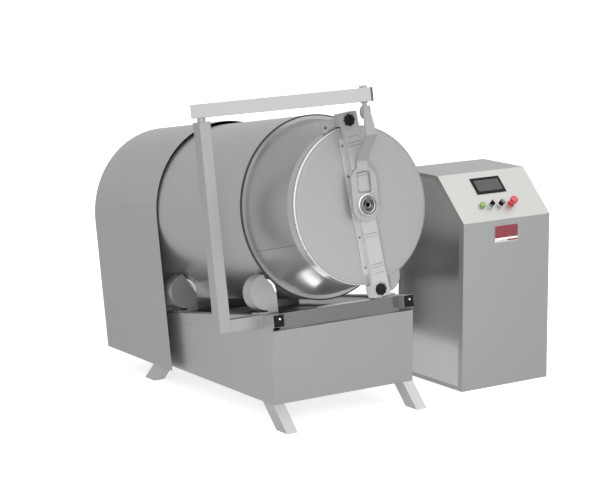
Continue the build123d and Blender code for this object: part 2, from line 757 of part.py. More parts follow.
# Lid
def lid_disc():
    """Dished lid with a rounded edge and a shallow step round its flat face."""
    edge = LID_EDGE_RADIUS
    with BuildPart() as lid:
        with BuildSketch(Plane.XY):
            with BuildLine():
                Line((0, LID_FACE), (LID_STEP_RADIUS, LID_FACE))
                Line((LID_STEP_RADIUS, LID_FACE), (LID_STEP_RADIUS + LID_STEP, LID_FACE + LID_STEP))
                Line(
                    (LID_STEP_RADIUS + LID_STEP, LID_FACE + LID_STEP),
                    (FLANGE_RADIUS - edge, LID_FACE + LID_STEP),
                )
                CenterArc((FLANGE_RADIUS - edge, LID_FACE + LID_STEP + edge), edge, -90, 90)
                Polyline(
                    (FLANGE_RADIUS, LID_FACE + LID_STEP + edge),
                    (FLANGE_RADIUS, LID_REAR),
                    (MOUTH_RADIUS, LID_REAR),
                    (MOUTH_RADIUS, LID_FACE + LID_STEP + LID_WALL),
                    (0, LID_FACE + LID_STEP + LID_WALL),
                    (0, LID_FACE),
                )
            make_face()
        revolve(axis=Axis.Y)
    return TILTED * Pos(0, 0, DRUM_AXIS_W) * lid.part


def lid_strongback():
    """Folded bar across the lid: a raised channel with one flange and four cross ribs."""
    half = BAR_HALF_LENGTH
    web = block(BAR_LEFT, BAR_RIGHT, BAR_FACE, BAR_FACE + BAR_WALL, -half, half)
    left_wall = block(BAR_LEFT, BAR_LEFT + BAR_WALL, BAR_FACE + BAR_WALL, LID_FACE, -half, half)
    right_wall = block(BAR_RIGHT - BAR_WALL, BAR_RIGHT, BAR_FACE + BAR_WALL, LID_FACE, -half, half)
    flange = block(BAR_LEFT - BAR_FLANGE, BAR_LEFT, LID_FACE - BAR_WALL, LID_FACE, -half, half)
    bar = web + left_wall + right_wall + flange
    for station in RIB_STATIONS:
        for side in (-1, 1):
            low = side * station - RIB_WIDTH / 2
            bar += block(BAR_LEFT, BAR_RIGHT, BAR_FACE - RIB_HEIGHT, BAR_FACE, low, low + RIB_WIDTH)
    return TILTED * LID_FRAME * bar


def lid_clamp_blocks():
    """Deep blocks at the bar's ends, which reach back over the rim to the lugs."""
    rim = FLANGE_RADIUS + BLOCK_CLEARANCE
    blocks = []
    for side in (-1, 1):
        clamp = block(BLOCK_LEFT, BLOCK_RIGHT, BAR_FACE, LID_FACE, side * BAR_HALF_LENGTH, side * rim)
        clamp += block(BLOCK_LEFT, BLOCK_RIGHT, BAR_FACE, BLOCK_REAR, side * rim, side * BLOCK_END)
        clamp -= bar_along_v(
            KNOB_ACROSS, side * KNOB_STATION, BAR_FACE - 1, BLOCK_REAR + 1, SPINDLE_RADIUS + SHAFT_CLEARANCE,
        )
        blocks.append(clamp)
    return TILTED * LID_FRAME * Compound(blocks)


def lid_spindle():
    """Spindle on the lid's centre, which turns in the hanger's hub and holds the strongback."""
    end = HUB_FRONT + HUB_RECESS_DEPTH - NUT_DEPTH
    spindle = bar_along_v(0, DRUM_AXIS_W, BAR_FACE, end, HUB_BORE - SHAFT_CLEARANCE)
    spindle -= bar_along_v(0, DRUM_AXIS_W, end - 1, BAR_FACE - 5, NUT_HOLE)
    return TILTED * spindle


def spindle_nut():
    """Slotted nut that holds the hanger on the spindle."""
    rear = HUB_FRONT + HUB_RECESS_DEPTH - BODY_CLEARANCE
    front = rear - NUT_DEPTH
    nut = ring_along_v(0, 0, front, rear, NUT_RADIUS, HUB_BORE - SHAFT_CLEARANCE)
    face = ring_along_v(0, 0, front - 2, HUB_FRONT + HUB_RECESS_DEPTH - NUT_DEPTH, NUT_RADIUS, NUT_HOLE)
    nut += face
    pocket = ring_along_v(0, 0, front - 3, front + 2, NUT_POCKET_OUTER, NUT_POCKET_INNER)
    half = NUT_POCKET_ANGLE / 2
    reach = NUT_RADIUS * 2
    spread = math.tan(math.radians(half)) * reach
    wedge = front_profile([(0, 0), (-reach, spread), (-reach, -spread)], front - 3, front + 2)
    for turn in (90, 210, 330):
        nut -= pocket & Rot(0, turn, 0) * wedge
    return TILTED * Pos(0, 0, DRUM_AXIS_W) * nut


def star_knob(side):
    """Lobed knob on a spindle through the clamp block, with its tip just off the lug."""
    front = BAR_FACE - KNOB_BOSS_DEPTH - KNOB_DEPTH
    rear = front + KNOB_DEPTH
    grip = bar_along_v(0, 0, front, rear, KNOB_RADIUS - KNOB_LOBE_RADIUS / 2)
    for number in range(KNOB_LOBES):
        turn = math.radians(number * 360 / KNOB_LOBES)
        reach = KNOB_RADIUS - KNOB_LOBE_RADIUS
        grip += bar_along_v(reach * math.cos(turn), reach * math.sin(turn), front, rear, KNOB_LOBE_RADIUS)
    grip += bar_along_v(0, 0, rear, BAR_FACE - BODY_CLEARANCE, KNOB_BOSS_RADIUS)
    grip += bar_along_v(0, 0, rear, BLOCK_REAR + LUG_GAP - BODY_CLEARANCE, SPINDLE_RADIUS)
    return TILTED * LID_FRAME * Pos(KNOB_ACROSS, 0, side * KNOB_STATION) * grip


# Davit
def davit_post():
    """Square post, capped at its top."""
    return TILTED * square_tube(
        POST_LEFT, POST_LEFT + TUBE, POST_FRONT_V, POST_FRONT_V + TUBE, -TUBE, POST_TOP_W, "closed",
    )


def davit_beam():
    """Square beam that reaches out from the left rail to the post's foot."""
    return TILTED * square_tube(
        POST_LEFT + TUBE, -HALF_WIDTH, POST_FRONT_V, POST_FRONT_V + TUBE, -TUBE, 0, "x",
    )


def davit_pivot_pin():
    """Pin on the post's top that the arm turns on."""
    shoulder = bar_upright(POST_U, POST_V, POST_TOP_W, ARM_BOTTOM_W - BODY_CLEARANCE, POST_PIN_RADIUS)
    spigot = bar_upright(POST_U, POST_V, POST_TOP_W, ARM_TOP_W - 2 * TUBE_WALL, POST_SPIGOT_RADIUS)
    return TILTED * (shoulder + spigot)


def arm_frame():
    """Frame along the arm: its x runs from the post to the hanger's pin."""
    return Pos(POST_U, POST_V, ARM_BOTTOM_W) * Rot(0, 0, ARM_ANGLE)


def davit_arm():
    """Square tube arm, closed at its tail, on the post's pin."""
    half = ARM_WIDTH / 2
    nose = ARM_REACH + ARM_NOSE
    wall = TUBE_WALL
    arm = block(-ARM_TAIL, nose, -half, half, 0, ARM_HEIGHT)
    arm -= block(-ARM_TAIL + wall, nose, -half + wall, half - wall, wall, ARM_HEIGHT - wall)
    arm -= bar_upright(0, 0, -1, wall + 1, POST_SPIGOT_RADIUS + SHAFT_CLEARANCE)
    bush = bar_upright(0, 0, wall, ARM_HEIGHT - wall, POST_SPIGOT_RADIUS + 2 * wall)
    bush -= bar_upright(0, 0, 0, ARM_HEIGHT - wall, POST_SPIGOT_RADIUS + SHAFT_CLEARANCE)
    arm += bush
    arm -= bar_upright(ARM_REACH, 0, -1, ARM_HEIGHT + 1, HANGER_PIN_RADIUS + SHAFT_CLEARANCE)
    return TILTED * arm_frame() * arm


def arm_end_cap():
    """Black cap on the arm's nose."""
    half = ARM_WIDTH / 2
    start = ARM_REACH + ARM_NOSE
    cap = block(start, start + ARM_CAP, -half, half, 0, ARM_HEIGHT)
    wall = TUBE_WALL
    cap += block(start - 2 * ARM_CAP, start, -half + wall, half - wall, wall, ARM_HEIGHT - wall)
    return TILTED * arm_frame() * cap


def hanger_pin():
    """Bolt on the hanger's eye, up through the arm's nose, with its collar below and its nut on top."""
    collar_top = ARM_BOTTOM_W - BODY_CLEARANCE
    nut_bottom = ARM_TOP_W + BODY_CLEARANCE
    pin = bar_upright(HANGER_U, HANGER_V, EYE_W + PIN_NECK_FOOT, collar_top, PIN_NECK_RADIUS)
    pin -= hanger_eye()
    pin += bar_upright(HANGER_U, HANGER_V, collar_top, nut_bottom, HANGER_PIN_RADIUS)
    pin += Pos(HANGER_U, HANGER_V, collar_top - PIN_COLLAR_DEPTH / 2) * Cone(
        PIN_NECK_RADIUS, PIN_COLLAR_RADIUS, PIN_COLLAR_DEPTH,
    )
    hexagon = RegularPolygon(PIN_NUT_RADIUS, 6)
    pin += Pos(HANGER_U, HANGER_V, nut_bottom) * extrude(hexagon, amount=PIN_NUT_HEIGHT)
    return TILTED * pin


# Hanger
def strap_side():
    """Bent strap seen from the side, as a band of even thickness."""
    thick = STRAP_THICKNESS
    low = DRUM_AXIS_W - PLATE_BELOW_AXIS
    front = [
        (STRAP_UPPER_V, STRAP_TOP_W),
        (STRAP_UPPER_V, STRAP_BEND_TOP_W),
        (STRAP_LOWER_V, STRAP_BEND_LOW_W),
        (STRAP_LOWER_V, low),
    ]
    slant = math.atan2(STRAP_LOWER_V - STRAP_UPPER_V, STRAP_BEND_TOP_W - STRAP_BEND_LOW_W)
    shift = thick * math.tan(slant / 2)
    back = [
        (STRAP_LOWER_V + thick, low),
        (STRAP_LOWER_V + thick, STRAP_BEND_LOW_W + shift),
        (STRAP_UPPER_V + thick, STRAP_BEND_TOP_W + shift),
        (STRAP_UPPER_V + thick, STRAP_TOP_W),
    ]
    return side_profile(front + back, -PLATE_HALF_WIDTH, PLATE_HALF_WIDTH)


def strap_front(v0, v1):
    """Outline of the strap seen from the front: a tongue above, a rounded plate round the hub."""
    low = DRUM_AXIS_W - PLATE_BELOW_AXIS
    plate_height = PLATE_TOP_W - low
    plate = Pos(0, low + plate_height / 2) * RectangleRounded(2 * PLATE_HALF_WIDTH, plate_height, PLATE_CORNER)
    half = STRAP_HALF_WIDTH
    shoulder = (STRAP_SHOULDER_U, STRAP_TOP_W - STRAP_SHOULDER_DROP)
    with BuildSketch() as tongue:
        with BuildLine():
            Polyline((half, PLATE_TOP_W - PLATE_CORNER), (half, STRAP_BEND_TOP_W))
            ThreePointArc((half, STRAP_BEND_TOP_W), shoulder, (STRAP_TOP_RIGHT, STRAP_TOP_W))
            Polyline(
                (STRAP_TOP_RIGHT, STRAP_TOP_W),
                (-half, STRAP_TOP_W),
                (-half, PLATE_TOP_W - PLATE_CORNER),
                (half, PLATE_TOP_W - PLATE_CORNER),
            )
        make_face()
    window_height = WINDOW_HIGH - WINDOW_LOW
    window = Pos(0, DRUM_AXIS_W + (WINDOW_HIGH + WINDOW_LOW) / 2) * RectangleRounded(
        2 * WINDOW_HALF_WIDTH, window_height, WINDOW_CORNER,
    )
    hole = Pos(0, DRUM_AXIS_W) * Circle(HUB_SLEEVE_RADIUS)
    outline = plate + tongue.sketch - window - hole
    return Pos(0, v1, 0) * Rot(90, 0, 0) * extrude(outline, amount=v1 - v0)


def hanger_eye():
    """Half-round eye on the back of the strap's top, in the tilted frame."""
    back = STRAP_UPPER_V + STRAP_THICKNESS
    middle = (EYE_LEFT + EYE_RIGHT) / 2
    eye = Pos(middle, STRAP_UPPER_V, EYE_W) * Rot(0, 90, 0) * Cylinder(EYE_RADIUS, EYE_RIGHT - EYE_LEFT)
    return eye & block(EYE_LEFT, EYE_RIGHT, back, back + EYE_RADIUS, EYE_W - EYE_RADIUS, EYE_W + EYE_RADIUS)


def hanger_strap():
    """Bent strap with a grip window, and the half-round eye behind its top that hangs on the pin."""
    strap = strap_side() & strap_front(STRAP_UPPER_V - 1, STRAP_LOWER_V + STRAP_THICKNESS + 1)
    return TILTED * (strap + hanger_eye())


def hanger_hub():
    """Bearing hub on the strap's plate, recessed round the spindle's nut."""
    back = STRAP_LOWER_V + STRAP_THICKNESS
    recess = HUB_FRONT + HUB_RECESS_DEPTH
    hub = bar_along_v(0, DRUM_AXIS_W, HUB_FRONT, STRAP_LOWER_V, HUB_RADIUS)
    hub = fillet(hub.edges().group_by(Axis.Y)[0], (HUB_RADIUS - HUB_RECESS_RADIUS) / 4)
    hub += bar_along_v(0, DRUM_AXIS_W, STRAP_LOWER_V, back, HUB_SLEEVE_RADIUS)
    hub -= bar_along_v(0, DRUM_AXIS_W, HUB_FRONT, recess, HUB_RECESS_RADIUS)
    hub -= bar_along_v(0, DRUM_AXIS_W, HUB_FRONT, back, HUB_BORE)
    return TILTED * hub


# Control cabinet
def cabinet_outline(inset, front_inset):
    """Side outline of the cabinet, set in from its edges."""
    slope = math.radians(SWITCH_SLOPE)
    front = CABINET_FRONT + front_inset
    rear = CABINET_FRONT + CABINET_DEPTH - inset
    top = CABINET_HEIGHT - inset
    corner = CABINET_FACE_HEIGHT + front_inset * math.tan(slope) - front_inset / math.cos(slope)
    back = front + (top - corner) / math.tan(slope)
    return [(front, inset), (front, corner), (back, top), (rear, top), (rear, inset)]


def cabinet_body():
    """Cabinet of folded sheet, open on its slope and in its sides, where panel and covers sit."""
    sheet = CABINET_SHEET
    right = CABINET_LEFT + CABINET_WIDTH
    body = side_profile(cabinet_outline(0, 0), CABINET_LEFT, right)
    body -= side_profile(cabinet_outline(sheet, sheet), CABINET_LEFT + sheet, right - sheet)
    body -= side_profile(cabinet_outline(COVER_INSET, COVER_FRONT_INSET), CABINET_LEFT - 1, right + 1)
    return body - SLOPE * block(0, CABINET_WIDTH, 0, SLOPE_LENGTH, -sheet, 1)


def cabinet_side_covers():
    """Flat covers set in the cabinet's sides, with a narrow joint round them."""
    outline = cabinet_outline(COVER_INSET + COVER_GAP, COVER_FRONT_INSET + COVER_GAP)
    right = CABINET_LEFT + CABINET_WIDTH
    left_cover = side_profile(outline, CABINET_LEFT, CABINET_LEFT + CABINET_SHEET)
    right_cover = side_profile(outline, right - CABINET_SHEET, right)
    return Compound([left_cover, right_cover])


def switch_places():
    """Place on the slope and collar radius of each switch."""
    return [
        (START_X, START_S, START_COLLAR_RADIUS),
        (SELECTOR_X, SELECTOR_S, SELECTOR_COLLAR_RADIUS),
        (KEY_X, KEY_S, KEY_COLLAR_RADIUS),
        (ESTOP_X, ESTOP_S, ESTOP_COLLAR_RADIUS),
    ]


def control_panel():
    """Sloped panel with holes for the switches' stems."""
    panel = block(0, CABINET_WIDTH, 0, SLOPE_LENGTH, -CABINET_SHEET, 0)
    for x, s, _ in switch_places():
        panel -= Pos(x, s, 0) * Cylinder(COLLAR_BORE, 4 * CABINET_SHEET)
    return SLOPE * panel


def touch_screen():
    """Operator screen in a flat bezel."""
    screen = Pos(SCREEN_X, SCREEN_S, SCREEN_THICKNESS / 2) * Box(SCREEN_WIDTH, SCREEN_HEIGHT, SCREEN_THICKNESS)
    screen = chamfer(screen.edges().group_by(Axis.Z)[-1], SCREEN_RECESS)
    glass = Box(SCREEN_WIDTH - 2 * SCREEN_BEZEL, SCREEN_HEIGHT - 2 * SCREEN_BEZEL, 2 * SCREEN_RECESS)
    return SLOPE * (screen - Pos(SCREEN_X, SCREEN_S, SCREEN_THICKNESS) * glass)


def switch_collars():
    """Round collars of the four switches, on the panel."""
    collars = []
    for x, s, radius in switch_places():
        collar = Pos(x, s, COLLAR_HEIGHT / 2) * Cylinder(radius, COLLAR_HEIGHT)
        collar = chamfer(collar.edges().group_by(Axis.Z)[-1], COLLAR_HEIGHT / 4)
        collars.append(collar - Pos(x, s, 0) * Cylinder(COLLAR_BORE, 3 * COLLAR_HEIGHT))
    return SLOPE * Compound(collars)


def switch_stem(x, s, top):
    """Stem of a switch, through its collar and the panel."""
    bottom = -4 * CABINET_SHEET
    return Pos(x, s, (top + bottom) / 2) * Cylinder(SWITCH_STEM_RADIUS, top - bottom)


def start_button():
    """Round push button with a crowned cap."""
    base = COLLAR_HEIGHT + BUTTON_TRAVEL + BODY_CLEARANCE
    cap = Pos(START_X, START_S, base + BUTTON_HEIGHT / 2) * Cylinder(BUTTON_RADIUS, BUTTON_HEIGHT)
    cap = fillet(cap.edges().group_by(Axis.Z)[-1], BUTTON_HEIGHT * 0.6)
    return SLOPE * (cap + switch_stem(START_X, START_S, base))


def selector_knob():
    """Selector with a raised finger bar across it."""
    base = COLLAR_HEIGHT + BODY_CLEARANCE
    half = SELECTOR_HEIGHT / 2
    knob = Pos(SELECTOR_X, SELECTOR_S, base + half / 2) * Cylinder(SELECTOR_RADIUS, half)
    bar = Box(SELECTOR_RADIUS * 0.7, SELECTOR_RADIUS * 2, SELECTOR_HEIGHT)
    bar = fillet(bar.edges().group_by(Axis.Z)[-1], SELECTOR_RADIUS * 0.15)
    knob += Pos(SELECTOR_X, SELECTOR_S, base + half) * bar
    return SLOPE * (knob + switch_stem(SELECTOR_X, SELECTOR_S, base))


def key_switch():
    """Key switch: a round lock with its key's slot."""
    base = COLLAR_HEIGHT + BODY_CLEARANCE
    lock = Pos(KEY_X, KEY_S, base + KEY_HEIGHT / 2) * Cylinder(KEY_RADIUS, KEY_HEIGHT)
    lock = chamfer(lock.edges().group_by(Axis.Z)[-1], KEY_HEIGHT / 8)
    slot = Box(KEY_RADIUS * 0.2, KEY_RADIUS * 0.9, KEY_RADIUS)
    lock -= Pos(KEY_X, KEY_S, base + KEY_HEIGHT) * slot
    return SLOPE * (lock + switch_stem(KEY_X, KEY_S, base))


def estop_button():
    """Mushroom emergency stop."""
    base = COLLAR_HEIGHT + ESTOP_TRAVEL + BODY_CLEARANCE
    neck = Pos(ESTOP_X, ESTOP_S, base + ESTOP_HEIGHT / 6) * Cylinder(ESTOP_RADIUS * 0.7, ESTOP_HEIGHT / 3)
    head_height = ESTOP_HEIGHT * 2 / 3
    head = Pos(ESTOP_X, ESTOP_S, base + ESTOP_HEIGHT - head_height / 2) * Cylinder(ESTOP_RADIUS, head_height)
    head = fillet(head.edges().group_by(Axis.Z)[-1], head_height * 0.55)
    return SLOPE * (head + neck + switch_stem(ESTOP_X, ESTOP_S, base))


def vacuum_pump():
    """Vacuum pump on the cabinet's floor: oil case and motor."""
    x = CABINET_LEFT + CABINET_WIDTH / 2
    y = CABINET_FRONT + CABINET_DEPTH / 2
    floor = CABINET_SHEET
    case = block(
        x - PUMP_LENGTH / 2, x, y - PUMP_WIDTH / 2, y + PUMP_WIDTH / 2, floor, floor + PUMP_HEIGHT,
    )
    case = fillet(case.edges().filter_by(Axis.X), PUMP_HEIGHT / 10)
    radius = PUMP_HEIGHT * 0.38
    motor = Pos(x + PUMP_LENGTH / 4, y, floor + radius) * Rot(0, 90, 0) * Cylinder(radius, PUMP_LENGTH / 2)
    return case + motor


def all_pieces():
    """Every piece by its name, in the machine frame."""
    right_panel = base_side_panel()
    rail = right_rail()
    pieces = {
        "base_front_panel": base_front_panel(),
        "base_right_panel": right_panel,
        "base_left_panel": mirrored(right_panel),
        "base_rear_panel": base_rear_panel(),
        "base_deck": base_deck(),
        "right_rail": rail,
        "left_rail": mirrored(rail),
        "rail_end_plugs": rail_end_plugs(),
        "rail_cross_beams": rail_cross_beams(),
        "front_feet": feet(0, -1),
        "rear_feet": feet(BASE_LENGTH, 1),
        "drum_shell": drum_shell(),
        "drum_edge_band": drum_edge_band(),
        "drum_neck": drum_neck(),
        "mouth_flange": mouth_flange(),
        "mouth_gasket": mouth_gasket(),
        "mixing_vanes": mixing_vanes(),
        "drum_trunnion": drum_trunnion(),
        "clamp_lugs": clamp_lugs(),
        "front_roller_guards": roller_guards(ROLLER_FRONT_V),
        "rear_roller_guards": roller_guards(ROLLER_REAR_V),
        "roller_axles": roller_axles(),
        "hood_shell": hood_shell(),
        "hood_rear_wall": hood_rear_wall(),
        "hood_spacers": hood_spacers(),
        "rear_support": rear_support(),
        "rear_bearing": rear_bearing(),
        "gear_reducer": gear_reducer(),
        "drive_motor": drive_motor(),
        "vacuum_swivel": vacuum_swivel(),
        "lid_disc": lid_disc(),
        "lid_strongback": lid_strongback(),
        "lid_clamp_blocks": lid_clamp_blocks(),
        "lid_spindle": lid_spindle(),
        "spindle_nut": spindle_nut(),
        "upper_star_knob": star_knob(1),
        "lower_star_knob": star_knob(-1),
        "davit_post": davit_post(),
        "davit_beam": davit_beam(),
        "davit_pivot_pin": davit_pivot_pin(),
        "davit_arm": davit_arm(),
        "arm_end_cap": arm_end_cap(),
        "hanger_pin": hanger_pin(),
        "hanger_strap": hanger_strap(),
        "hanger_hub": hanger_hub(),
        "cabinet_body": cabinet_body(),
        "cabinet_side_covers": cabinet_side_covers(),
        "control_panel": control_panel(),
        "touch_screen": touch_screen(),
        "switch_collars": switch_collars(),
        "start_button": start_button(),
        "selector_knob": selector_knob(),
        "key_switch": key_switch(),
        "estop_button": estop_button(),
        "vacuum_pump": vacuum_pump(),
    }
    for station, front_v in (("front", ROLLER_FRONT_V), ("rear", ROLLER_REAR_V)):
        for name, side in (("left", -1), ("right", 1)):
            pieces[f"{station}_{name}_roller"] = roller_wheel(side, front_v)
    return pieces


def origin_shift(pieces):
    """Move that puts the origin on the floor, in the middle of the whole footprint."""
    box = Compound([piece for piece in pieces.values()]).bounding_box()
    return Pos(-(box.min.X + box.max.X) / 2, -(box.min.Y + box.max.Y) / 2, -box.min.Z)


def main():
    """Writes every piece."""
    pieces = all_pieces()
    to_origin = origin_shift(pieces)
    os.makedirs("parts", exist_ok=True)
    for name, piece in pieces.items():
        export_step(to_origin * piece, f"parts/{name}.step")


if __name__ == "__main__":
    main()
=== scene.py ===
import math

import bmesh
import bpy
from bpy.props import FloatProperty, FloatVectorProperty, IntProperty, PointerProperty
from mathutils import Matrix, Vector


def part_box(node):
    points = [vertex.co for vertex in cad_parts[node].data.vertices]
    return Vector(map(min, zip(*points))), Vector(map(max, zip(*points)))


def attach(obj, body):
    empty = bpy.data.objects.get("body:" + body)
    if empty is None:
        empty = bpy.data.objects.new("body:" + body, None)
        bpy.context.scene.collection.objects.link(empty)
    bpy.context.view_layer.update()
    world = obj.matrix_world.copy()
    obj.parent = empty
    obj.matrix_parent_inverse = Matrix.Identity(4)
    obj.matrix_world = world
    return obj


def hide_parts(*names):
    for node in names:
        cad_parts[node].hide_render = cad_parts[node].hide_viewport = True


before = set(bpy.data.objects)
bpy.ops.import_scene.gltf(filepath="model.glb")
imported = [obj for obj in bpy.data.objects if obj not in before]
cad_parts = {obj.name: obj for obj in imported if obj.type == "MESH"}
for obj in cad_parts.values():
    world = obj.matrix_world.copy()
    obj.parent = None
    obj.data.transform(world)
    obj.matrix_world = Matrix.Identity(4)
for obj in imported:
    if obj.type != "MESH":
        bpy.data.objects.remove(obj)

bl_info = {
    "name": "Vacuum Tumbler Finish",
    "version": (1, 0, 0),
    "blender": (4, 5, 0),
    "location": "View3D > Sidebar > Tumbler",
    "description": "Finishes, fittings and studio for the tilted meat vacuum tumbler",
    "category": "Object",
}

# Places of the machine, in metres. Its zero is on the floor, in the middle of the base's front panel.
FRONT_LOW, FRONT_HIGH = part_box("base_front_panel")
ZERO = Vector(((FRONT_LOW.x + FRONT_HIGH.x) / 2, FRONT_LOW.y, 0))
TILT = math.radians(9.63)
RAIL_TOP = 0.5886
RAIL_OUT = 0.440
TUBE = 0.064
DRUM_AXIS = 0.507
BAR_ROLL = math.radians(6.25)
MACHINE = Matrix.Translation(ZERO)
TILTED = Matrix.Translation(ZERO + Vector((0, 0, RAIL_TOP))) @ Matrix.Rotation(-TILT, 4, "X")
ON_AXIS = TILTED @ Matrix.Translation((0, 0, DRUM_AXIS))
ON_LID = ON_AXIS @ Matrix.Rotation(-BAR_ROLL, 4, "Y")

# Places of the cabinet, which stands square to the machine
CABINET_LEFT = 0.794
CABINET_FRONT = 0.0242
CABINET_FACE = 0.9196
CABINET_TOP = 1.1487
SLOPE_DEPTH = 0.230
SLOPE_ANGLE = math.atan2(CABINET_TOP - CABINET_FACE, SLOPE_DEPTH)
CABINET = Matrix.Translation(ZERO + Vector((CABINET_LEFT, CABINET_FRONT, 0)))
SLOPE = CABINET @ Matrix.Translation((0, 0, CABINET_FACE)) @ Matrix.Rotation(SLOPE_ANGLE, 4, "X")
PLATE_ACROSS = 0.2925
PLATE_UP = 0.8413

# Turns that bring z round to the machine's front or rear
TO_FRONT = Matrix.Rotation(math.pi / 2, 4, "X")
TO_REAR = Matrix.Rotation(-math.pi / 2, 4, "X")

# Faces along the drum's axis, stations along the bar, and the hood's outline in the tilted frame
LID_FACE = -0.233
LUG_FACE = -0.1945
KNOB_FACE = -0.2877
HUB_FACE = -0.295
NUT_FACE = -0.2933
RIB_FACE = -0.2612
KNOB_REACH = 0.433
RIB_EDGES = (0.1485, 0.1635, 0.3045, 0.3195, 0.350)
SCREW_STATIONS = (0.156, 0.312)
HOOD_REAR = 1.6745
HOOD_ARCH = 0.5167
HOOD_JOINT = 0.584
HOOD_HALF = 0.488
LOUVRE_PITCH = 0.034
LOUVRE_LOW = 0.0585

# Camera, fitted to the photograph's 600 by 490 frame
CAMERA_TARGET = Vector((-0.2746, 0, 0.9309))
CAMERA_AZIMUTH = math.radians(-34.19)
CAMERA_ELEVATION = math.radians(10.91)
CAMERA_ROLL = math.radians(-0.20)
CAMERA_DISTANCE = 10.8387
CAMERA_LENS = 129.4

# Floor and surround
WHITE = (1, 1, 1, 1)
FLOOR_GREY = (0.55, 0.55, 0.55, 1)
FLOOR_GLOW = 0.76
FLOOR_HALF = 30

FINISHES = {}


def shade(red, green, blue):
    """Linear colour of a colour given in the usual 0 to 255 steps."""
    out = []
    for value in (red, green, blue):
        value /= 255
        out.append(value / 12.92 if value <= 0.04045 else ((value + 0.055) / 1.055) ** 2.4)
    return tuple(out)


def times(colour, factor, lift=0.0):
    """Colour made darker or lighter, never past white."""
    return tuple(min(1.0, value * factor + lift) for value in colour)


class TumblerFinishes(bpy.types.PropertyGroup):
    """Colours and gloss of the finishes."""

    satin: FloatVectorProperty(
        name="Satin Sheet", description="Colour of the base, shell, hood and cabinet sheet",
        default=shade(168, 170, 169), subtype="COLOR", min=0, max=1,
    )
    satin_roughness: FloatProperty(
        name="Satin Roughness", description="How matt the satin sheet is",
        default=0.36, min=0, max=1, subtype="FACTOR",
    )
    lid: FloatVectorProperty(
        name="Lid", description="Colour of the lid, its bar and the hanger",
        default=shade(154, 156, 155), subtype="COLOR", min=0, max=1,
    )
    tube: FloatVectorProperty(
        name="Davit Tube", description="Colour of the davit's arm and post",
        default=shade(170, 171, 169), subtype="COLOR", min=0, max=1,
    )
    slope: FloatVectorProperty(
        name="Sloped Panel", description="Colour of the control panel",
        default=shade(189, 189, 186), subtype="COLOR", min=0, max=1,
    )
    neck: FloatVectorProperty(
        name="Neck", description="Colour of the bright rolled neck",
        default=shade(164, 166, 166), subtype="COLOR", min=0, max=1,
    )
    nylon: FloatVectorProperty(
        name="Nylon", description="Colour of the rollers",
        default=shade(192, 193, 192), subtype="COLOR", min=0, max=1,
    )


class TumblerFittings(bpy.types.PropertyGroup):
    """Sizes of the small fittings."""

    screw_radius: FloatProperty(
        name="Screw Head Radius", description="Radius of the bar's screw heads",
        default=0.0062, min=0.002, max=0.02, subtype="DISTANCE", unit="LENGTH",
    )
    screw_height: FloatProperty(
        name="Screw Head Height", description="Height of the bar's screw heads",
        default=0.0032, min=0.001, max=0.02, subtype="DISTANCE", unit="LENGTH",
    )
    rivet_radius: FloatProperty(
        name="Rivet Radius", description="Radius of the rivets on the rear wall",
        default=0.00672, min=0.001, max=0.02, subtype="DISTANCE", unit="LENGTH",
    )
    weld_radius: FloatProperty(
        name="Weld Radius", description="Radius of the weld beads",
        default=0.0026, min=0.0005, max=0.01, subtype="DISTANCE", unit="LENGTH",
    )
    louvre_count: IntProperty(
        name="Louvres", description="Louvres in the rear wall", default=7, min=1, max=12,
    )


class TumblerStudio(bpy.types.PropertyGroup):
    """Strength of the studio's light."""

    key: FloatProperty(
        name="Key", description="Power of the large lamp at the front right",
        default=12, min=0, unit="POWER",
    )
    overhead: FloatProperty(
        name="Overhead", description="Power of the lamp above", default=12, min=0, unit="POWER",
    )
    low_fill: FloatProperty(
        name="Low Fill", description="Power of the low lamp at the front left",
        default=16, min=0, unit="POWER",
    )
    neck_glow: FloatProperty(
        name="Neck Glow", description="Power of the small lamp between the front beam and the neck",
        default=0.12, min=0, unit="POWER",
    )
    under_drum: FloatProperty(
        name="Under Drum", description="Power of the lamp that lights the inside of the right rail",
        default=0.17, min=0, unit="POWER",
    )
    surround: FloatProperty(
        name="Surround", description="Strength of the surrounding light", default=0.80, min=0, max=2,
    )
    mirrored_floor: FloatProperty(
        name="Mirrored Floor", description="How bright the floor is in the metal",
        default=0.76, min=0, max=1,
    )
    zenith: FloatProperty(
        name="Zenith", description="How much brighter the surround is above the front",
        default=1.1, min=0, max=2,
    )
    front: FloatProperty(
        name="Front", description="How much brighter the surround is behind the viewer",
        default=0.55, min=0, max=2,
    )


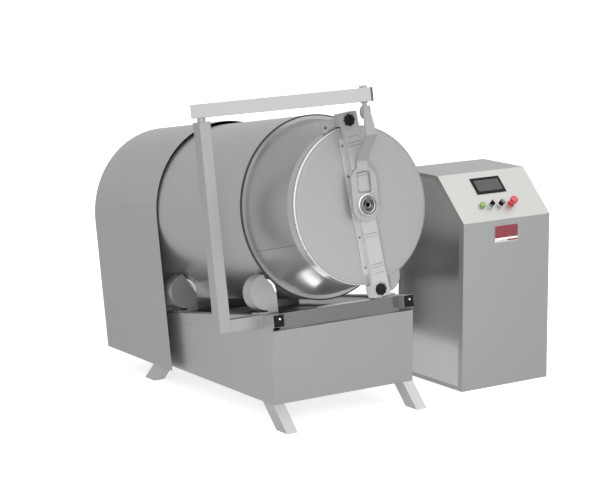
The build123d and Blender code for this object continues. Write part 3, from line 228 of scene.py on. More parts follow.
# Nodes
class Tree:
    """Nodes and links of a material, a world or a geometry group."""

    def __init__(self, group):
        self.group = group
        self.nodes = group.nodes
        self.links = group.links

    def node(self, kind, inputs=(), **settings):
        """New node. inputs are sockets or constants by label or number, as a dictionary or as pairs."""
        node = self.nodes.new(kind)
        for name, value in settings.items():
            setattr(node, name, value)
        for key, value in inputs.items() if isinstance(inputs, dict) else inputs:
            if isinstance(value, bpy.types.NodeSocket):
                self.links.new(value, node.inputs[key])
            else:
                node.inputs[key].default_value = value
        return node

    def add(self, kind, inputs=(), **settings):
        """First output of a new node, which is what most nodes are for."""
        return self.node(kind, inputs, **settings).outputs[0]

    def maths(self, operation, *values, clamp=False):
        """Result of a Math node on sockets or numbers."""
        return self.add("ShaderNodeMath", enumerate(values), operation=operation, use_clamp=clamp)

    def blend(self, factor, first, second):
        """Colour between two colours, which are sockets or tuples."""
        colour_a, colour_b, colour_out = 6, 7, 2
        inputs = {"Factor": factor}
        for key, value in ((colour_a, first), (colour_b, second)):
            inputs[key] = value if isinstance(value, bpy.types.NodeSocket) else (*value, 1)
        return self.node("ShaderNodeMix", inputs, data_type="RGBA").outputs[colour_out]

    def noise(self, vector, scale, detail, roughness):
        """Noise value at a vector."""
        inputs = {"Vector": vector, "Scale": scale, "Detail": detail, "Roughness": roughness}
        return self.add("ShaderNodeTexNoise", inputs)

    def stretch(self, vector, scale):
        """Vector scaled along each axis."""
        return self.add("ShaderNodeMapping", {"Vector": vector, "Scale": scale})

    def split(self, vector):
        """The three coordinates of a vector."""
        return self.node("ShaderNodeSeparateXYZ", {"Vector": vector}).outputs

    def local(self, place):
        """Object coordinates turned into the frame of a place."""
        source = self.node("ShaderNodeTexCoord").outputs["Object"]
        inputs = {"Vector": source, "Location": place.to_translation(), "Rotation": place.to_euler()}
        return self.add("ShaderNodeMapping", inputs, vector_type="TEXTURE")

    def turned(self, vector, radial=1.0, around=1.0, along=1.0):
        """Coordinates that follow a lathe's cut about the place's y axis: (vector, radius, angle)."""
        x, y, z = self.split(vector)
        squares = self.maths("ADD", self.maths("MULTIPLY", x, x), self.maths("MULTIPLY", z, z))
        radius = self.maths("SQRT", squares)
        angle = self.maths("ARCTAN2", z, x)
        cut = self.add("ShaderNodeCombineXYZ", {
            "X": self.maths("MULTIPLY", radius, radial),
            "Y": self.maths("MULTIPLY", angle, around),
            "Z": self.maths("MULTIPLY", y, along),
        })
        return cut, radius, angle

    def near(self, value, centre, half_width):
        """1 where a value is near a number, 0 elsewhere."""
        away = self.maths("ABSOLUTE", self.maths("SUBTRACT", value, centre))
        return self.maths("LESS_THAN", away, half_width)

    def rays(self):
        """Outputs of the light path, and 1 for rays that come straight from the camera."""
        path = self.node("ShaderNodeLightPath").outputs
        return path, self.maths("MAXIMUM", path["Is Camera Ray"], path["Is Transmission Ray"])

    def surface(self, colour, roughness, height, edge, strength, distance, constants):
        """Ends a material in a shader with softened edges, a fine bump and constants by label."""
        soft = self.add("ShaderNodeBevel", {"Radius": edge}, samples=4)
        bump = {"Strength": strength, "Distance": distance, "Height": height, "Normal": soft}
        inputs = {"Base Color": colour, "Roughness": roughness, "Normal": self.add("ShaderNodeBump", bump)}
        shader = self.add("ShaderNodeBsdfPrincipled", {**inputs, **constants})
        self.node("ShaderNodeOutputMaterial", {"Surface": shader})


# Materials
def new_material(name):
    """Material with no nodes yet: (material, tree)."""
    material = bpy.data.materials.new(name)
    material.use_nodes = True
    tree = Tree(material.node_tree)
    tree.nodes.clear()
    return material, tree


def steel(name, colour, roughness, place=MACHINE, grain=(3.0, 3.0, 900.0), lathe=None, variation=0.05,
          scratch=0.06, edge=0.0018, lines=None, joint=0.32, metal=0.86, rim=None, smears=0.09):
    """Brushed stainless: grain, cloudy gloss, fine bump and softened edges.

    grain is how often the brushing repeats a metre along each axis of the place, and lathe the same
    round the place's y axis. lines adds dark lines, a function of (tree, local coordinates): seams on the
    hood and the neck, and painted shade at the lid's rim fillet and the bar's rib edges.
    rim is the radius round that axis from which the surface is polished, and painted brighter as a
    highlight.
    """
    material, tree = new_material(name)
    local = tree.local(place)
    vector = tree.turned(local, *lathe)[0] if lathe else tree.stretch(local, grain)
    fine = tree.noise(vector, 1.0, 4.0, 0.65)
    cloud = tree.noise(local, 3.4, 3.0, 0.55)
    smear = tree.noise(tree.stretch(local, (9.0, 2.5, 5.0)), 1.3, 4.0, 0.6)
    tone = tree.maths("ADD", tree.maths("MULTIPLY", fine, 0.55), tree.maths("MULTIPLY", cloud, 0.45))
    colours = tree.blend(tone, times(colour, 1 - variation), times(colour, 1 + variation))
    rough = tree.maths("MULTIPLY_ADD", fine, scratch, roughness - scratch * 0.9)
    rough = tree.maths("MULTIPLY_ADD", smear, smears, rough)
    height = fine
    # Dark lines: seams on the hood and the neck; on the lid and the bar they are painted shade
    if lines:
        mask = lines(tree, local)
        colours = tree.blend(mask, colours, times(colour, joint))
        height = tree.maths("SUBTRACT", fine, tree.maths("MULTIPLY", mask, 3.0))
    # Polished rim: less rough, and a painted highlight that lightens its colour
    if rim:
        polish_and_highlight = tree.maths("GREATER_THAN", tree.turned(local)[1], rim)
        colours = tree.blend(polish_and_highlight, colours, times(colour, 1.7))
        rough = tree.maths("MULTIPLY_ADD", polish_and_highlight, -0.16, rough)
    tree.surface(colours, rough, height, edge, 0.12, 0.0004, {"Metallic": metal})
    FINISHES[name] = material


def moulded(name, colour, roughness, speckle=700.0, bump_height=0.0002, variation=0.12, coat=0.0,
            edge=0.0012, specular=0.5):
    """Moulded plastic, rubber or paint: fine texture, cloudy gloss and softened edges."""
    material, tree = new_material(name)
    local = tree.local(MACHINE)
    fine = tree.noise(local, speckle, 2.0, 0.5)
    cloud = tree.noise(local, 24.0, 4.0, 0.6)
    colours = tree.blend(cloud, times(colour, 1 - variation), times(colour, 1 + variation, 0.004))
    rough = tree.maths("MULTIPLY_ADD", cloud, 0.14, roughness - 0.07)
    rough = tree.maths("MULTIPLY_ADD", fine, 0.05, rough)
    tree.surface(colours, rough, fine, edge, 0.25, bump_height, {
        "Coat Weight": coat, "Coat Roughness": 0.12, "Specular IOR Level": specular,
    })
    FINISHES[name] = material


def by_height(centre, half_width):
    """Level joint line at a height in the place's frame."""
    return lambda tree, local: tree.near(tree.split(local)["Z"], centre, half_width)


def painted_shade_ring(radius, half_width):
    """Dark ring round the place's y axis at a radius: painted shade where the lid's rim fillet meets its
    face.
    """
    return lambda tree, local: tree.near(tree.turned(local)[1], radius, half_width)


def by_angle(degrees, half_width):
    """Joint line along the drum at an angle round its axis."""
    def build(tree, local):
        _, radius, angle = tree.turned(local)
        away = tree.maths("ABSOLUTE", tree.maths("SUBTRACT", angle, math.radians(degrees)))
        return tree.maths("LESS_THAN", tree.maths("MULTIPLY", away, radius), half_width)
    return build


def rib_edge_shade(stations, half_width, left, right, face):
    """Painted shade along the edges of the bar's pressed ribs and of its ends, on its front face only."""
    def build(tree, local):
        x, y, z = tree.split(local)
        along = tree.maths("ABSOLUTE", z)
        mask = tree.near(along, stations[0], half_width)
        for station in stations[1:]:
            mask = tree.maths("MAXIMUM", mask, tree.near(along, station, half_width))
        for test, *pair in (("GREATER_THAN", x, left), ("LESS_THAN", x, right), ("LESS_THAN", y, face)):
            mask = tree.maths("MULTIPLY", mask, tree.maths(test, *pair))
        return mask
    return build


def finish(name):
    """A material made earlier, by its name."""
    if name not in FINISHES:
        raise RuntimeError(f"material {name} isn't made yet")
    return FINISHES[name]


def dress(name, *nodes):
    """Gives CAD nodes a finish in all their slots."""
    material = finish(name)
    for node in nodes:
        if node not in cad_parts:
            raise RuntimeError(f"no node {node}")
        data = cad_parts[node].data
        if not data.materials:
            data.materials.append(material)
        for index in range(len(data.materials)):
            data.materials[index] = material


# Meshes
def link(name, data):
    """Object with a mesh, a lamp or a camera, in the scene."""
    thing = bpy.data.objects.new(name, data)
    bpy.context.scene.collection.objects.link(thing)
    return thing


def finish_mesh(name, work, place, finishes, smooth=True, sharp=35.0):
    """Mesh from a bmesh, moved to its place, with outward faces."""
    work.transform(place)
    bmesh.ops.remove_doubles(work, verts=work.verts, dist=1e-6)
    bmesh.ops.recalc_face_normals(work, faces=work.faces)
    data = bpy.data.meshes.new(name)
    work.to_mesh(data)
    work.free()
    for material in finishes:
        data.materials.append(finish(material))
    if smooth:
        data.shade_smooth()
        data.set_sharp_from_angle(angle=math.radians(sharp))
    return link(name, data)


def lathe_into(work, profile, segments, material=0, place=Matrix.Identity(4), bulge=None):
    """Turned form about z from (radius, height) points, as one list of faces for each band.

    bulge changes the radius with the angle and the point's number.
    """
    rings = []
    for step, (radius, height) in enumerate(profile):
        if radius < 1e-6:
            rings.append([work.verts.new(place @ Vector((0, 0, height)))])
            continue
        ring = []
        for number in range(segments):
            angle = 2 * math.pi * number / segments
            reach = radius * (bulge(angle, step) if bulge else 1.0)
            spot = Vector((reach * math.cos(angle), reach * math.sin(angle), height))
            ring.append(work.verts.new(place @ spot))
        rings.append(ring)
    bands = []
    for low, high in zip(rings, rings[1:]):
        band = []
        for number in range(segments):
            after = (number + 1) % segments
            corners = [low[number % len(low)], low[after % len(low)]]
            corners += [high[after % len(high)], high[number % len(high)]]
            corners = list(dict.fromkeys(corners))
            if len(corners) > 2:
                face = work.faces.new(corners)
                face.material_index = material
                band.append(face)
        bands.append(band)
    return bands


def slab_into(work, size, middle, round_edge, material=0, segments=3):
    """Box with rounded edges."""
    corners = bmesh.ops.create_cube(work, size=1.0)["verts"]
    bmesh.ops.scale(work, vec=size, verts=corners)
    bmesh.ops.translate(work, vec=middle, verts=corners)
    for corner in corners:
        for face in corner.link_faces:
            face.material_index = material
    edges = list(dict.fromkeys(edge for corner in corners for edge in corner.link_edges))
    bmesh.ops.bevel(
        work, geom=edges, offset=round_edge, segments=segments, profile=0.5, affect="EDGES",
        clamp_overlap=True, material=material,
    )


def arc_points(middle_r, middle_h, radius, start, end, steps):
    """Points of an arc in a (radius, height) profile, angles in degrees."""
    points = []
    for step in range(steps + 1):
        angle = math.radians(start + (end - start) * step / steps)
        points.append((middle_r + radius * math.cos(angle), middle_h + radius * math.sin(angle)))
    return points


# Geometry Nodes
def new_tree(name, sizes):
    """Geometry tree with named inputs for its sizes and its material: (tree, sockets of the inputs)."""
    group = bpy.data.node_groups.new(name, "GeometryNodeTree")
    add_socket = group.interface.new_socket
    add_socket("Geometry", in_out="INPUT", socket_type="NodeSocketGeometry")
    for label, value in sizes.items():
        kind = "NodeSocketInt" if isinstance(value, int) else "NodeSocketFloat"
        add_socket(label, in_out="INPUT", socket_type=kind).default_value = value
    add_socket("Material", in_out="INPUT", socket_type="NodeSocketMaterial")
    add_socket("Geometry", in_out="OUTPUT", socket_type="NodeSocketGeometry")
    tree = Tree(group)
    return tree, tree.node("NodeGroupInput").outputs


def close_tree(tree, geometry, given):
    """Ends a tree in Realize Instances and Set Material, and gives its group."""
    whole = tree.add("GeometryNodeRealizeInstances", {"Geometry": geometry})
    painted = tree.add("GeometryNodeSetMaterial", {"Geometry": whole, "Material": given["Material"]})
    tree.node("NodeGroupOutput", {"Geometry": painted})
    return tree.group


def screw_tree():
    """Button-head screws on the points of a mesh, each with a hexagon socket."""
    tree, given = new_tree("screws_on_points", {
        "Head Radius": 0.006, "Head Height": 0.003, "Socket Radius": 0.0022,
    })
    radius, height, socket = given["Head Radius"], given["Head Height"], given["Socket Radius"]

    def cone(sides, size, bottom, top, depth, lift):
        """Cone from shares of a radius and of the head's height, lifted by a share of that height."""
        shape = tree.add("GeometryNodeMeshCone", {
            "Vertices": sides,
            "Radius Bottom": tree.maths("MULTIPLY", size, bottom),
            "Radius Top": tree.maths("MULTIPLY", size, top),
            "Depth": tree.maths("MULTIPLY", height, depth),
        })
        rise = tree.add("ShaderNodeCombineXYZ", {"Z": tree.maths("MULTIPLY", height, lift)})
        return tree.add("GeometryNodeTransform", {"Geometry": shape, "Translation": rise})

    skirt = cone(20, radius, 1.0, 0.93, 0.45, 0.0)
    crown = cone(20, radius, 0.93, 0.58, 0.45, 0.45)
    rim = cone(6, socket, 1.0, 0.82, 0.12, 0.9)
    screw = tree.add("GeometryNodeJoinGeometry", [("Geometry", part) for part in (skirt, crown, rim)])
    points = tree.add("GeometryNodeMeshToPoints", {"Mesh": given["Geometry"]})
    screws = tree.add("GeometryNodeInstanceOnPoints", {"Points": points, "Instance": screw})
    return close_tree(tree, screws, given)


def bead_tree():
    """Weld bead that follows the edges of a mesh, with the ripples of its runs."""
    tree, given = new_tree("weld_bead", {
        "Bead Radius": 0.0026, "Ripple Length": 0.0045, "Ripple Depth": 0.22,
    })
    path = tree.add("GeometryNodeMeshToCurve", {"Mesh": given["Geometry"]})
    step = tree.maths("MULTIPLY", given["Ripple Length"], 0.5)
    path = tree.add("GeometryNodeResampleCurve", {"Curve": path, "Length": step}, mode="LENGTH")
    odd = tree.maths("MODULO", tree.add("GeometryNodeInputIndex"), 2.0)
    swell = tree.maths("SUBTRACT", 1.0, tree.maths("MULTIPLY", odd, given["Ripple Depth"]))
    path = tree.add("GeometryNodeSetCurveRadius", {"Curve": path, "Radius": swell})
    ring = tree.add("GeometryNodeCurvePrimitiveCircle", {"Resolution": 6, "Radius": given["Bead Radius"]})
    bead = tree.add("GeometryNodeCurveToMesh", {
        "Curve": path, "Profile Curve": ring, "Scale": swell, "Fill Caps": True,
    })
    return close_tree(tree, tree.add("GeometryNodeSetShadeSmooth", {"Geometry": bead}), given)


def louvre_tree():
    """Stack of hooded louvres, each a quarter-round sheet with closed ends."""
    tree, given = new_tree("louvres", {"Count": 7, "Pitch": LOUVRE_PITCH, "Length": 0.27, "Depth": 0.012})
    arc = tree.add("GeometryNodeCurveArc", {
        "Resolution": 8, "Radius": given["Depth"], "Start Angle": 0.0, "Sweep Angle": math.pi / 2,
        "Connect Center": True,
    }, mode="RADIUS")
    left = tree.add("ShaderNodeCombineXYZ", {"X": tree.maths("MULTIPLY", given["Length"], -0.5)})
    line = tree.add("GeometryNodeCurvePrimitiveLine", {
        "Start": left, "Direction": (1, 0, 0), "Length": given["Length"],
    }, mode="DIRECTION")
    louvre = tree.add("GeometryNodeCurveToMesh", {"Curve": line, "Profile Curve": arc, "Fill Caps": True})
    rise = tree.add("ShaderNodeCombineXYZ", {"Z": given["Pitch"]})
    row = tree.add("GeometryNodeMeshLine", {"Count": given["Count"], "Offset": rise}, mode="OFFSET")
    stack = tree.add("GeometryNodeInstanceOnPoints", {"Points": row, "Instance": louvre})
    return close_tree(tree, stack, given)


def grown(name, group, data, values, place, sharp=40.0):
    """Plain mesh that a geometry tree makes from a mesh, moved to its place."""
    seed = link(name + "_seed", data)
    modifier = seed.modifiers.new("grow", "NODES")
    modifier.node_group = group
    sockets = {item.name: item.identifier for item in group.interface.items_tree if item.in_out == "INPUT"}
    for label, value in values.items():
        modifier[sockets[label]] = value
    bpy.context.view_layer.update()
    graph = bpy.context.evaluated_depsgraph_get()
    made = bpy.data.meshes.new_from_object(seed.evaluated_get(graph), depsgraph=graph)
    seed.modifiers.remove(modifier)
    bpy.data.objects.remove(seed)
    bpy.data.meshes.remove(data)
    if not made.polygons:
        raise RuntimeError(f"{name} came out empty")
    work = bmesh.new()
    work.from_mesh(made)
    work.transform(place)
    bmesh.ops.recalc_face_normals(work, faces=work.faces)
    work.to_mesh(made)
    work.free()
    made.name = name
    made.shade_smooth()
    made.set_sharp_from_angle(angle=math.radians(sharp))
    return link(name, made)


def point_mesh(name, points):
    """Mesh of loose points."""
    data = bpy.data.meshes.new(name)
    data.from_pydata([tuple(point) for point in points], [], [])
    return data


def path_mesh(name, paths):
    """Mesh of open or closed paths; a path that ends where it starts is closed."""
    corners, edges = [], []
    for path in paths:
        closed = (Vector(path[0]) - Vector(path[-1])).length < 1e-6
        points = path[:-1] if closed else path
        first = len(corners)
        corners += [tuple(point) for point in points]
        edges += [(first + n, first + n + 1) for n in range(len(points) - 1)]
        if closed:
            edges.append((first + len(points) - 1, first))
    data = bpy.data.meshes.new(name)
    data.from_pydata(corners, edges, [])
    return data


def circle_path(radius, height, steps):
    """Closed path round the place's y axis at a height along it."""
    path = []
    for step in range(steps):
        angle = 2 * math.pi * step / steps
        path.append(Vector((radius * math.cos(angle), height, radius * math.sin(angle))))
    return path + path[:1]


def settle(thing, body, slot, *replaced):
    """Puts a finished piece on its body."""
    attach(thing, body)
    if replaced:
        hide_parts(*replaced)


class TUMBLER_OT_materials(bpy.types.Operator):
    """Make the finishes that the pieces share"""

    bl_idname = "tumbler.materials"
    bl_label = "Shared Finishes"

    def execute(self, context):
        look = context.scene.tumbler_finishes
        satin = tuple(look.satin)
        rough = look.satin_roughness
        lid = tuple(look.lid)
        tube = tuple(look.tube)
        turning = (1800.0, 3.0, 1500.0)

        # Base, rails and hood
        steel("satin_sheet", satin, rough, grain=(3, 3, 900))
        steel("satin_side_sheet", times(satin, 1.04), rough, grain=(900, 3, 700))
        steel("satin_deck", times(satin, 0.8), rough, TILTED, (700, 3, 3))
        steel("satin_rail", satin, 0.36, TILTED, (900, 4, 900), edge=0.003)
        steel("bright_beam", shade(122, 122, 122), 0.13, TILTED, (3, 900, 900), edge=0.001)
        steel("satin_ledge", satin, 0.5, grain=(3, 900, 900), variation=0.03, metal=0.1)
        steel("satin_feet", times(tube, 1.2), 0.36, grain=(900, 4, 4), edge=0.003)
        steel("satin_guard", tube, 0.42, TILTED, (4, 3, 900), edge=0.002)
        steel(
            "satin_hood", satin, rough, TILTED, (900, 3, 4), variation=0.035,
            lines=by_height(HOOD_JOINT, 0.0012), joint=0.75,
        )

        # Drum
        steel("satin_rolled_shell", satin, rough - 0.04, ON_AXIS, lathe=(3.0, 2.0, 900.0), variation=0.04)
        steel(
            "bright_rolled_neck", times(look.neck, 0.85), 0.31, ON_AXIS, lathe=(3.0, 3.0, 700.0),
            variation=0.02, scratch=0.03, smears=0.02, metal=0.84,
            lines=by_angle(-156.0, 0.0014), joint=0.4,
        )
        steel(
            "turned_flange", times(satin, 0.88), 0.3, ON_AXIS, lathe=(1400.0, 3.0, 1200.0),
            variation=0.04, metal=0.6,
        )
        steel("satin_vanes", lid, 0.5, ON_AXIS, (900, 3, 900), variation=0.03, metal=0.1)

        # Lid, davit and hanger
        steel(
            # Dark ring at the lid's rim fillet: painted shade
            # Lid rim beyond radius 0.399: polished, with a painted highlight
            "satin_lid", lid, 0.42, ON_LID, (600, 3, 4), variation=0.025, metal=0.7,
            lines=painted_shade_ring(0.3945, 0.0011), joint=0.55, rim=0.3990,
        )
        # Bar: the dark lines at its rib edges and ends are painted shade
        steel(
            "satin_bar", times(lid, 0.79), 0.4, ON_LID, (900, 3, 3), variation=0.03, metal=0.06,
            lines=rib_edge_shade(RIB_EDGES, 0.0012, -0.030, 0.046, RIB_FACE), joint=0.36,
        )
        # Spindle painted near-black: painted shade inside the nut's bore
        steel("spindle_bore_shade", shade(34, 34, 36), 0.4, ON_AXIS, lathe=(900.0, 3.0, 900.0))
        # Hub and nut edges: polished, with a painted highlight in their light colour
        steel(
            "edge_polish_and_highlight", shade(206, 206, 206), 0.16, ON_AXIS, lathe=turning,
            variation=0.03, edge=0.0006,
        )
        steel("pocket_steel", shade(104, 104, 104), 0.35, ON_AXIS, lathe=turning, edge=0.0006)
        steel("turned_hub", times(lid, 0.34), 0.3, ON_AXIS, lathe=turning, metal=0.6)
        steel("satin_strap", lid, 0.36, TILTED, (900, 3, 3), variation=0.03, metal=0.6)
        steel("turned_pin", satin, 0.36, TILTED, (300, 300, 900), variation=0.04, metal=0.4)
        steel("satin_tube", times(tube, 1.12), 0.36, TILTED, (4, 4, 900), variation=0.04, edge=0.003)
        steel("satin_post", times(tube, 0.95), 0.34, TILTED, (900, 900, 4), edge=0.004)
        steel("turned_steel", shade(188, 188, 186), 0.24, ON_AXIS, lathe=(1500.0, 3.0, 1500.0))

        # Cabinet
        steel("satin_cabinet", satin, rough, CABINET, (900, 900, 3), variation=0.03, metal=0.76)
        steel("bright_cover", times(satin, 1.5), 0.2, CABINET, (3, 900, 3), variation=0.03, metal=0.93)
        steel("pale_slope", tuple(look.slope), 0.42, SLOPE, (3, 900, 900), variation=0.025)
        steel(
            "bright_rings", shade(215, 215, 214), 0.14, SLOPE, (400, 400, 400), variation=0.03, edge=0.0006,
        )

        # Fasteners and welds
        steel("dark_fasteners", shade(98, 98, 98), 0.3, grain=(300, 300, 300), edge=0.0005)
        steel("weld_metal", shade(168, 166, 160), 0.4, grain=(260, 260, 260), variation=0.18, edge=0.0005)

        # Plastic, rubber, glass and paint
        moulded("painted_casting", shade(96, 102, 108), 0.45, 500.0, 0.0006)
        moulded("grey_drive_paint", shade(112, 118, 122), 0.4, 900.0, 0.0003, coat=0.3)
        moulded("turned_nylon", tuple(look.nylon), 0.42, 900.0, variation=0.02)
        moulded("black_moulding", shade(13, 13, 14), 0.42, 1200.0, 0.0003, specular=0.12)
        # Near-black band round the drum's front edge
        moulded("near_black_edge_band", shade(38, 38, 40), 0.55, 1500.0)
        moulded("gasket_rubber", shade(58, 58, 58), 0.6, 1500.0)
        moulded("green_cap", shade(110, 144, 72), 0.22, 900.0, 0.0001, 0.06, coat=0.4)
        moulded("red_cap", shade(178, 34, 42), 0.16, 900.0, 0.0001, 0.05, coat=1.0)
        moulded("red_plate_enamel", shade(118, 38, 46), 0.3, 900.0, 0.0001, 0.05, coat=0.4)
        moulded("pale_strip", shade(176, 176, 178), 0.35, 900.0, 0.0001, 0.02)
        moulded("grey_end_cap", shade(74, 74, 74), 0.5, 900.0)
        moulded("white_mark", shade(232, 232, 230), 0.35, 900.0, 0.0001, 0.02)
        moulded("screen_glass", shade(40, 42, 45), 0.16, 60.0, 0.00002, 0.05, coat=0.4)
        return {"FINISHED"}


class TUMBLER_OT_base(bpy.types.Operator):
    """Finish the base and its rails, and fit the rails' end plugs and the ledge behind the front panel"""

    bl_idname = "tumbler.base"
    bl_label = "Base and Rails"

    def execute(self, context):
        dress("satin_sheet", "base_front_panel", "base_rear_panel")
        dress("satin_side_sheet", "base_left_panel", "base_right_panel")
        dress("satin_deck", "base_deck")
        dress("satin_rail", "left_rail", "right_rail")
        dress("bright_beam", "rail_cross_beams")
        dress("satin_feet", "front_feet", "rear_feet")
        plug = 0.058
        lip = plug + 0.0035
        up = -TUBE / 2
        bolt = [(0.0, 0.0011), (0.0040, 0.0009), (0.0049, 0.0002), (0.0051, -0.0006), (0.0, -0.0006)]
        work = bmesh.new()
        for side in (-1, 1):
            across = side * (RAIL_OUT - TUBE / 2)
            slab_into(work, (plug, 0.017, plug), (across, 0.0090, up), 0.0016)
            slab_into(work, (lip, 0.0016, lip), (across, -0.0007, up), 0.0006)
            place = Matrix.Translation((across + 0.006, -0.0013, up + 0.009)) @ TO_FRONT
            lathe_into(work, bolt, 24, 1, place)
        plugs = finish_mesh("rail_plug_caps", work, TILTED, ["black_moulding", "white_mark"])
        settle(plugs, "base", "black_plastic", "rail_end_plugs")

        work = bmesh.new()
        slab_into(work, (0.748, 0.0245, 0.0015), (0, 0.0246, 0.50415), 0.0003)
        settle(finish_mesh("front_ledge", work, MACHINE, ["satin_ledge"]), "base", "satin_stainless")
        return {"FINISHED"}


class TUMBLER_OT_drum(bpy.types.Operator):
    """Finish the drum, its neck, mouth and vanes"""

    bl_idname = "tumbler.drum"
    bl_label = "Drum"

    def execute(self, context):
        dress("satin_rolled_shell", "drum_shell")
        dress("satin_vanes", "mixing_vanes")
        dress("bright_rolled_neck", "drum_neck")
        dress("turned_flange", "mouth_flange")
        # Near-black band round the drum's front edge
        dress("near_black_edge_band", "drum_edge_band")
        dress("gasket_rubber", "mouth_gasket")
        dress("turned_steel", "drum_trunnion")
        dress("satin_bar", "clamp_lugs")
        return {"FINISHED"}


class TUMBLER_OT_lid(bpy.types.Operator):
    """Finish the lid, its bar and its spindle, and turn the slotted nut"""

    bl_idname = "tumbler.lid"
    bl_label = "Lid and Bar"

    def execute(self, context):
        dress("satin_lid", "lid_disc")
        dress("satin_bar", "lid_strongback", "lid_clamp_blocks")
        # Spindle painted near-black: painted shade inside the nut's bore
        dress("spindle_bore_shade", "lid_spindle")
        turns = 72
        face = [(0.0130, 0.0012), (0.0142, 0.0), (0.0190, 0.0)]
        face += [(0.0320, 0.0), (0.0356, 0.0), (0.0370, 0.0014)]
        back = [(0.0370, 0.0014), (0.0370, 0.0080), (0.0130, 0.0080), (0.0130, 0.0012)]
        pocket_half, pocket_depth = 37, 0.004
        work = bmesh.new()
        bands = lathe_into(work, face, turns)
        # Chamfers of the nut: polished, with a painted highlight
        for edge in bands[0] + bands[4]:
            edge.material_index = 1
        angles = [360 * (number + 0.5) / turns for number in range(turns)]
        pockets = []
        for middle in (90, 210, 330):
            away = [abs((angle - middle + 180) % 360 - 180) for angle in angles]
            pockets.append([facet for facet, angle in zip(bands[2], away) if angle < pocket_half])
        for faces in pockets:
            made = bmesh.ops.extrude_face_region(work, geom=faces)["geom"]
            bmesh.ops.delete(work, geom=faces, context="FACES_ONLY")
            corners = [item for item in made if isinstance(item, bmesh.types.BMVert)]
            bmesh.ops.translate(work, vec=(0, 0, pocket_depth), verts=corners)
            for item in made:
                if isinstance(item, bmesh.types.BMFace):
                    item.material_index = 2
        lathe_into(work, back, turns)
        place = ON_AXIS @ Matrix.Translation((0, NUT_FACE, 0)) @ TO_REAR
        nut = finish_mesh("slotted_nut", work, place, ["turned_hub", "edge_polish_and_highlight", "pocket_steel"])
        settle(nut, "lid", "machined_steel", "spindle_nut")
        return {"FINISHED"}


class TUMBLER_OT_knobs(bpy.types.Operator):
    """Build the lobed clamp knobs with their spindles"""

    bl_idname = "tumbler.knobs"
    bl_label = "Star Knobs"

    def execute(self, context):
        profile = [
            (0.0, 0.0), (0.0118, 0.0), (0.0128, 0.0012), (0.0185, 0.0014), (0.0248, 0.0022),
            (0.0280, 0.0048), (0.0292, 0.0090), (0.0292, 0.0140), (0.0278, 0.0185), (0.0235, 0.0214),
            (0.0135, 0.0220), (0.0125, 0.0254), (0.0, 0.0254),
        ]
        stem = [(0.0, 0.0250), (0.0080, 0.0250), (0.0080, 0.0918), (0.0068, 0.0928), (0.0, 0.0928)]
        lobes, lobe_depth, first, last = 8, 0.072, 3, 9

        def lobed(angle, step):
            """Lobes on the knob's outer points, shallower on the last one."""
            if step < first or step > last:
                return 1.0
            return 1.0 + lobe_depth * math.cos(lobes * angle) * (0.35 if step == last else 1.0)

        for name, side in (("upper_star_knob", 1), ("lower_star_knob", -1)):
            toward = Matrix.Translation((-0.006, KNOB_FACE, side * KNOB_REACH)) @ TO_REAR
            work = bmesh.new()
            lathe_into(work, profile, 96, 0, toward, lobed)
            lathe_into(work, stem, 24, 1, toward)
            knob = finish_mesh(name + "_form", work, ON_LID, ["black_moulding", "turned_steel"], sharp=50.0)
            settle(knob, name, "black_plastic", name)
        return {"FINISHED"}


class TUMBLER_OT_davit(bpy.types.Operator):
    """Finish the davit and the hanger that carries the lid, and turn the hub's front"""

    bl_idname = "tumbler.davit"
    bl_label = "Davit and Hanger"

    def execute(self, context):
        dress("satin_post", "davit_post", "davit_beam")
        dress("satin_tube", "davit_arm")
        dress("grey_end_cap", "arm_end_cap")
        dress("turned_pin", "davit_pivot_pin", "hanger_pin")
        dress("satin_strap", "hanger_strap")
        # Faces of the hub ring: dark turned steel, and edges polished with a painted highlight
        turned, polish_and_highlight = 0, 1
        profile = [
            ((0.0250, 0.0270), turned), ((0.0250, 0.0100), turned), ((0.0390, 0.0100), turned),
            ((0.0390, 0.0024), polish_and_highlight), ((0.0414, 0.0), turned), ((0.0500, 0.0), polish_and_highlight),
        ]
        profile += [(point, polish_and_highlight) for point in arc_points(0.0500, 0.0070, 0.0070, -90, 0, 6)[1:]]
        profile += [
            ((0.0570, 0.0190), turned), ((0.0440, 0.0190), turned), ((0.0440, 0.0270), turned),
            ((0.0250, 0.0270), turned),
        ]
        work = bmesh.new()
        for (first, paint), (second, _) in zip(profile, profile[1:]):
            lathe_into(work, [first, second], 72, paint)
        place = ON_AXIS @ Matrix.Translation((0, HUB_FACE, 0)) @ TO_REAR
        hub = finish_mesh("hub_ring", work, place, ["turned_hub", "edge_polish_and_highlight"])
        settle(hub, "hanger", "machined_steel", "hanger_hub")
        return {"FINISHED"}


class TUMBLER_OT_rollers(bpy.types.Operator):
    """Finish the rollers, their axles and their guards"""

    bl_idname = "tumbler.rollers"
    bl_label = "Rollers"

    def execute(self, context):
        for end in ("front", "rear"):
            dress("turned_nylon", f"{end}_left_roller", f"{end}_right_roller")
        dress("satin_guard", "front_roller_guards", "rear_roller_guards")
        dress("turned_steel", "roller_axles")
        return {"FINISHED"}


class TUMBLER_OT_hood(bpy.types.Operator):
    """Finish the hood and fit the hooded louvres of its rear wall"""

    bl_idname = "tumbler.hood"
    bl_label = "Hood"

    def execute(self, context):
        dress("satin_hood", "hood_shell", "hood_spacers")
        dress("satin_sheet", "hood_rear_wall")
        count = context.scene.tumbler_fittings.louvre_count
        top = LOUVRE_LOW + (count - 1) * LOUVRE_PITCH
        place = TILTED @ Matrix.Translation((0, HOOD_REAR + 0.0003, top)) @ Matrix.Rotation(math.pi, 4, "X")
        louvres = grown(
            "louvre_hoods", louvre_tree(), point_mesh("louvre_seed", [(0, 0, 0)]),
            {"Count": count, "Material": finish("satin_hood")}, place,
        )
        settle(louvres, "base", "satin_stainless")
        return {"FINISHED"}


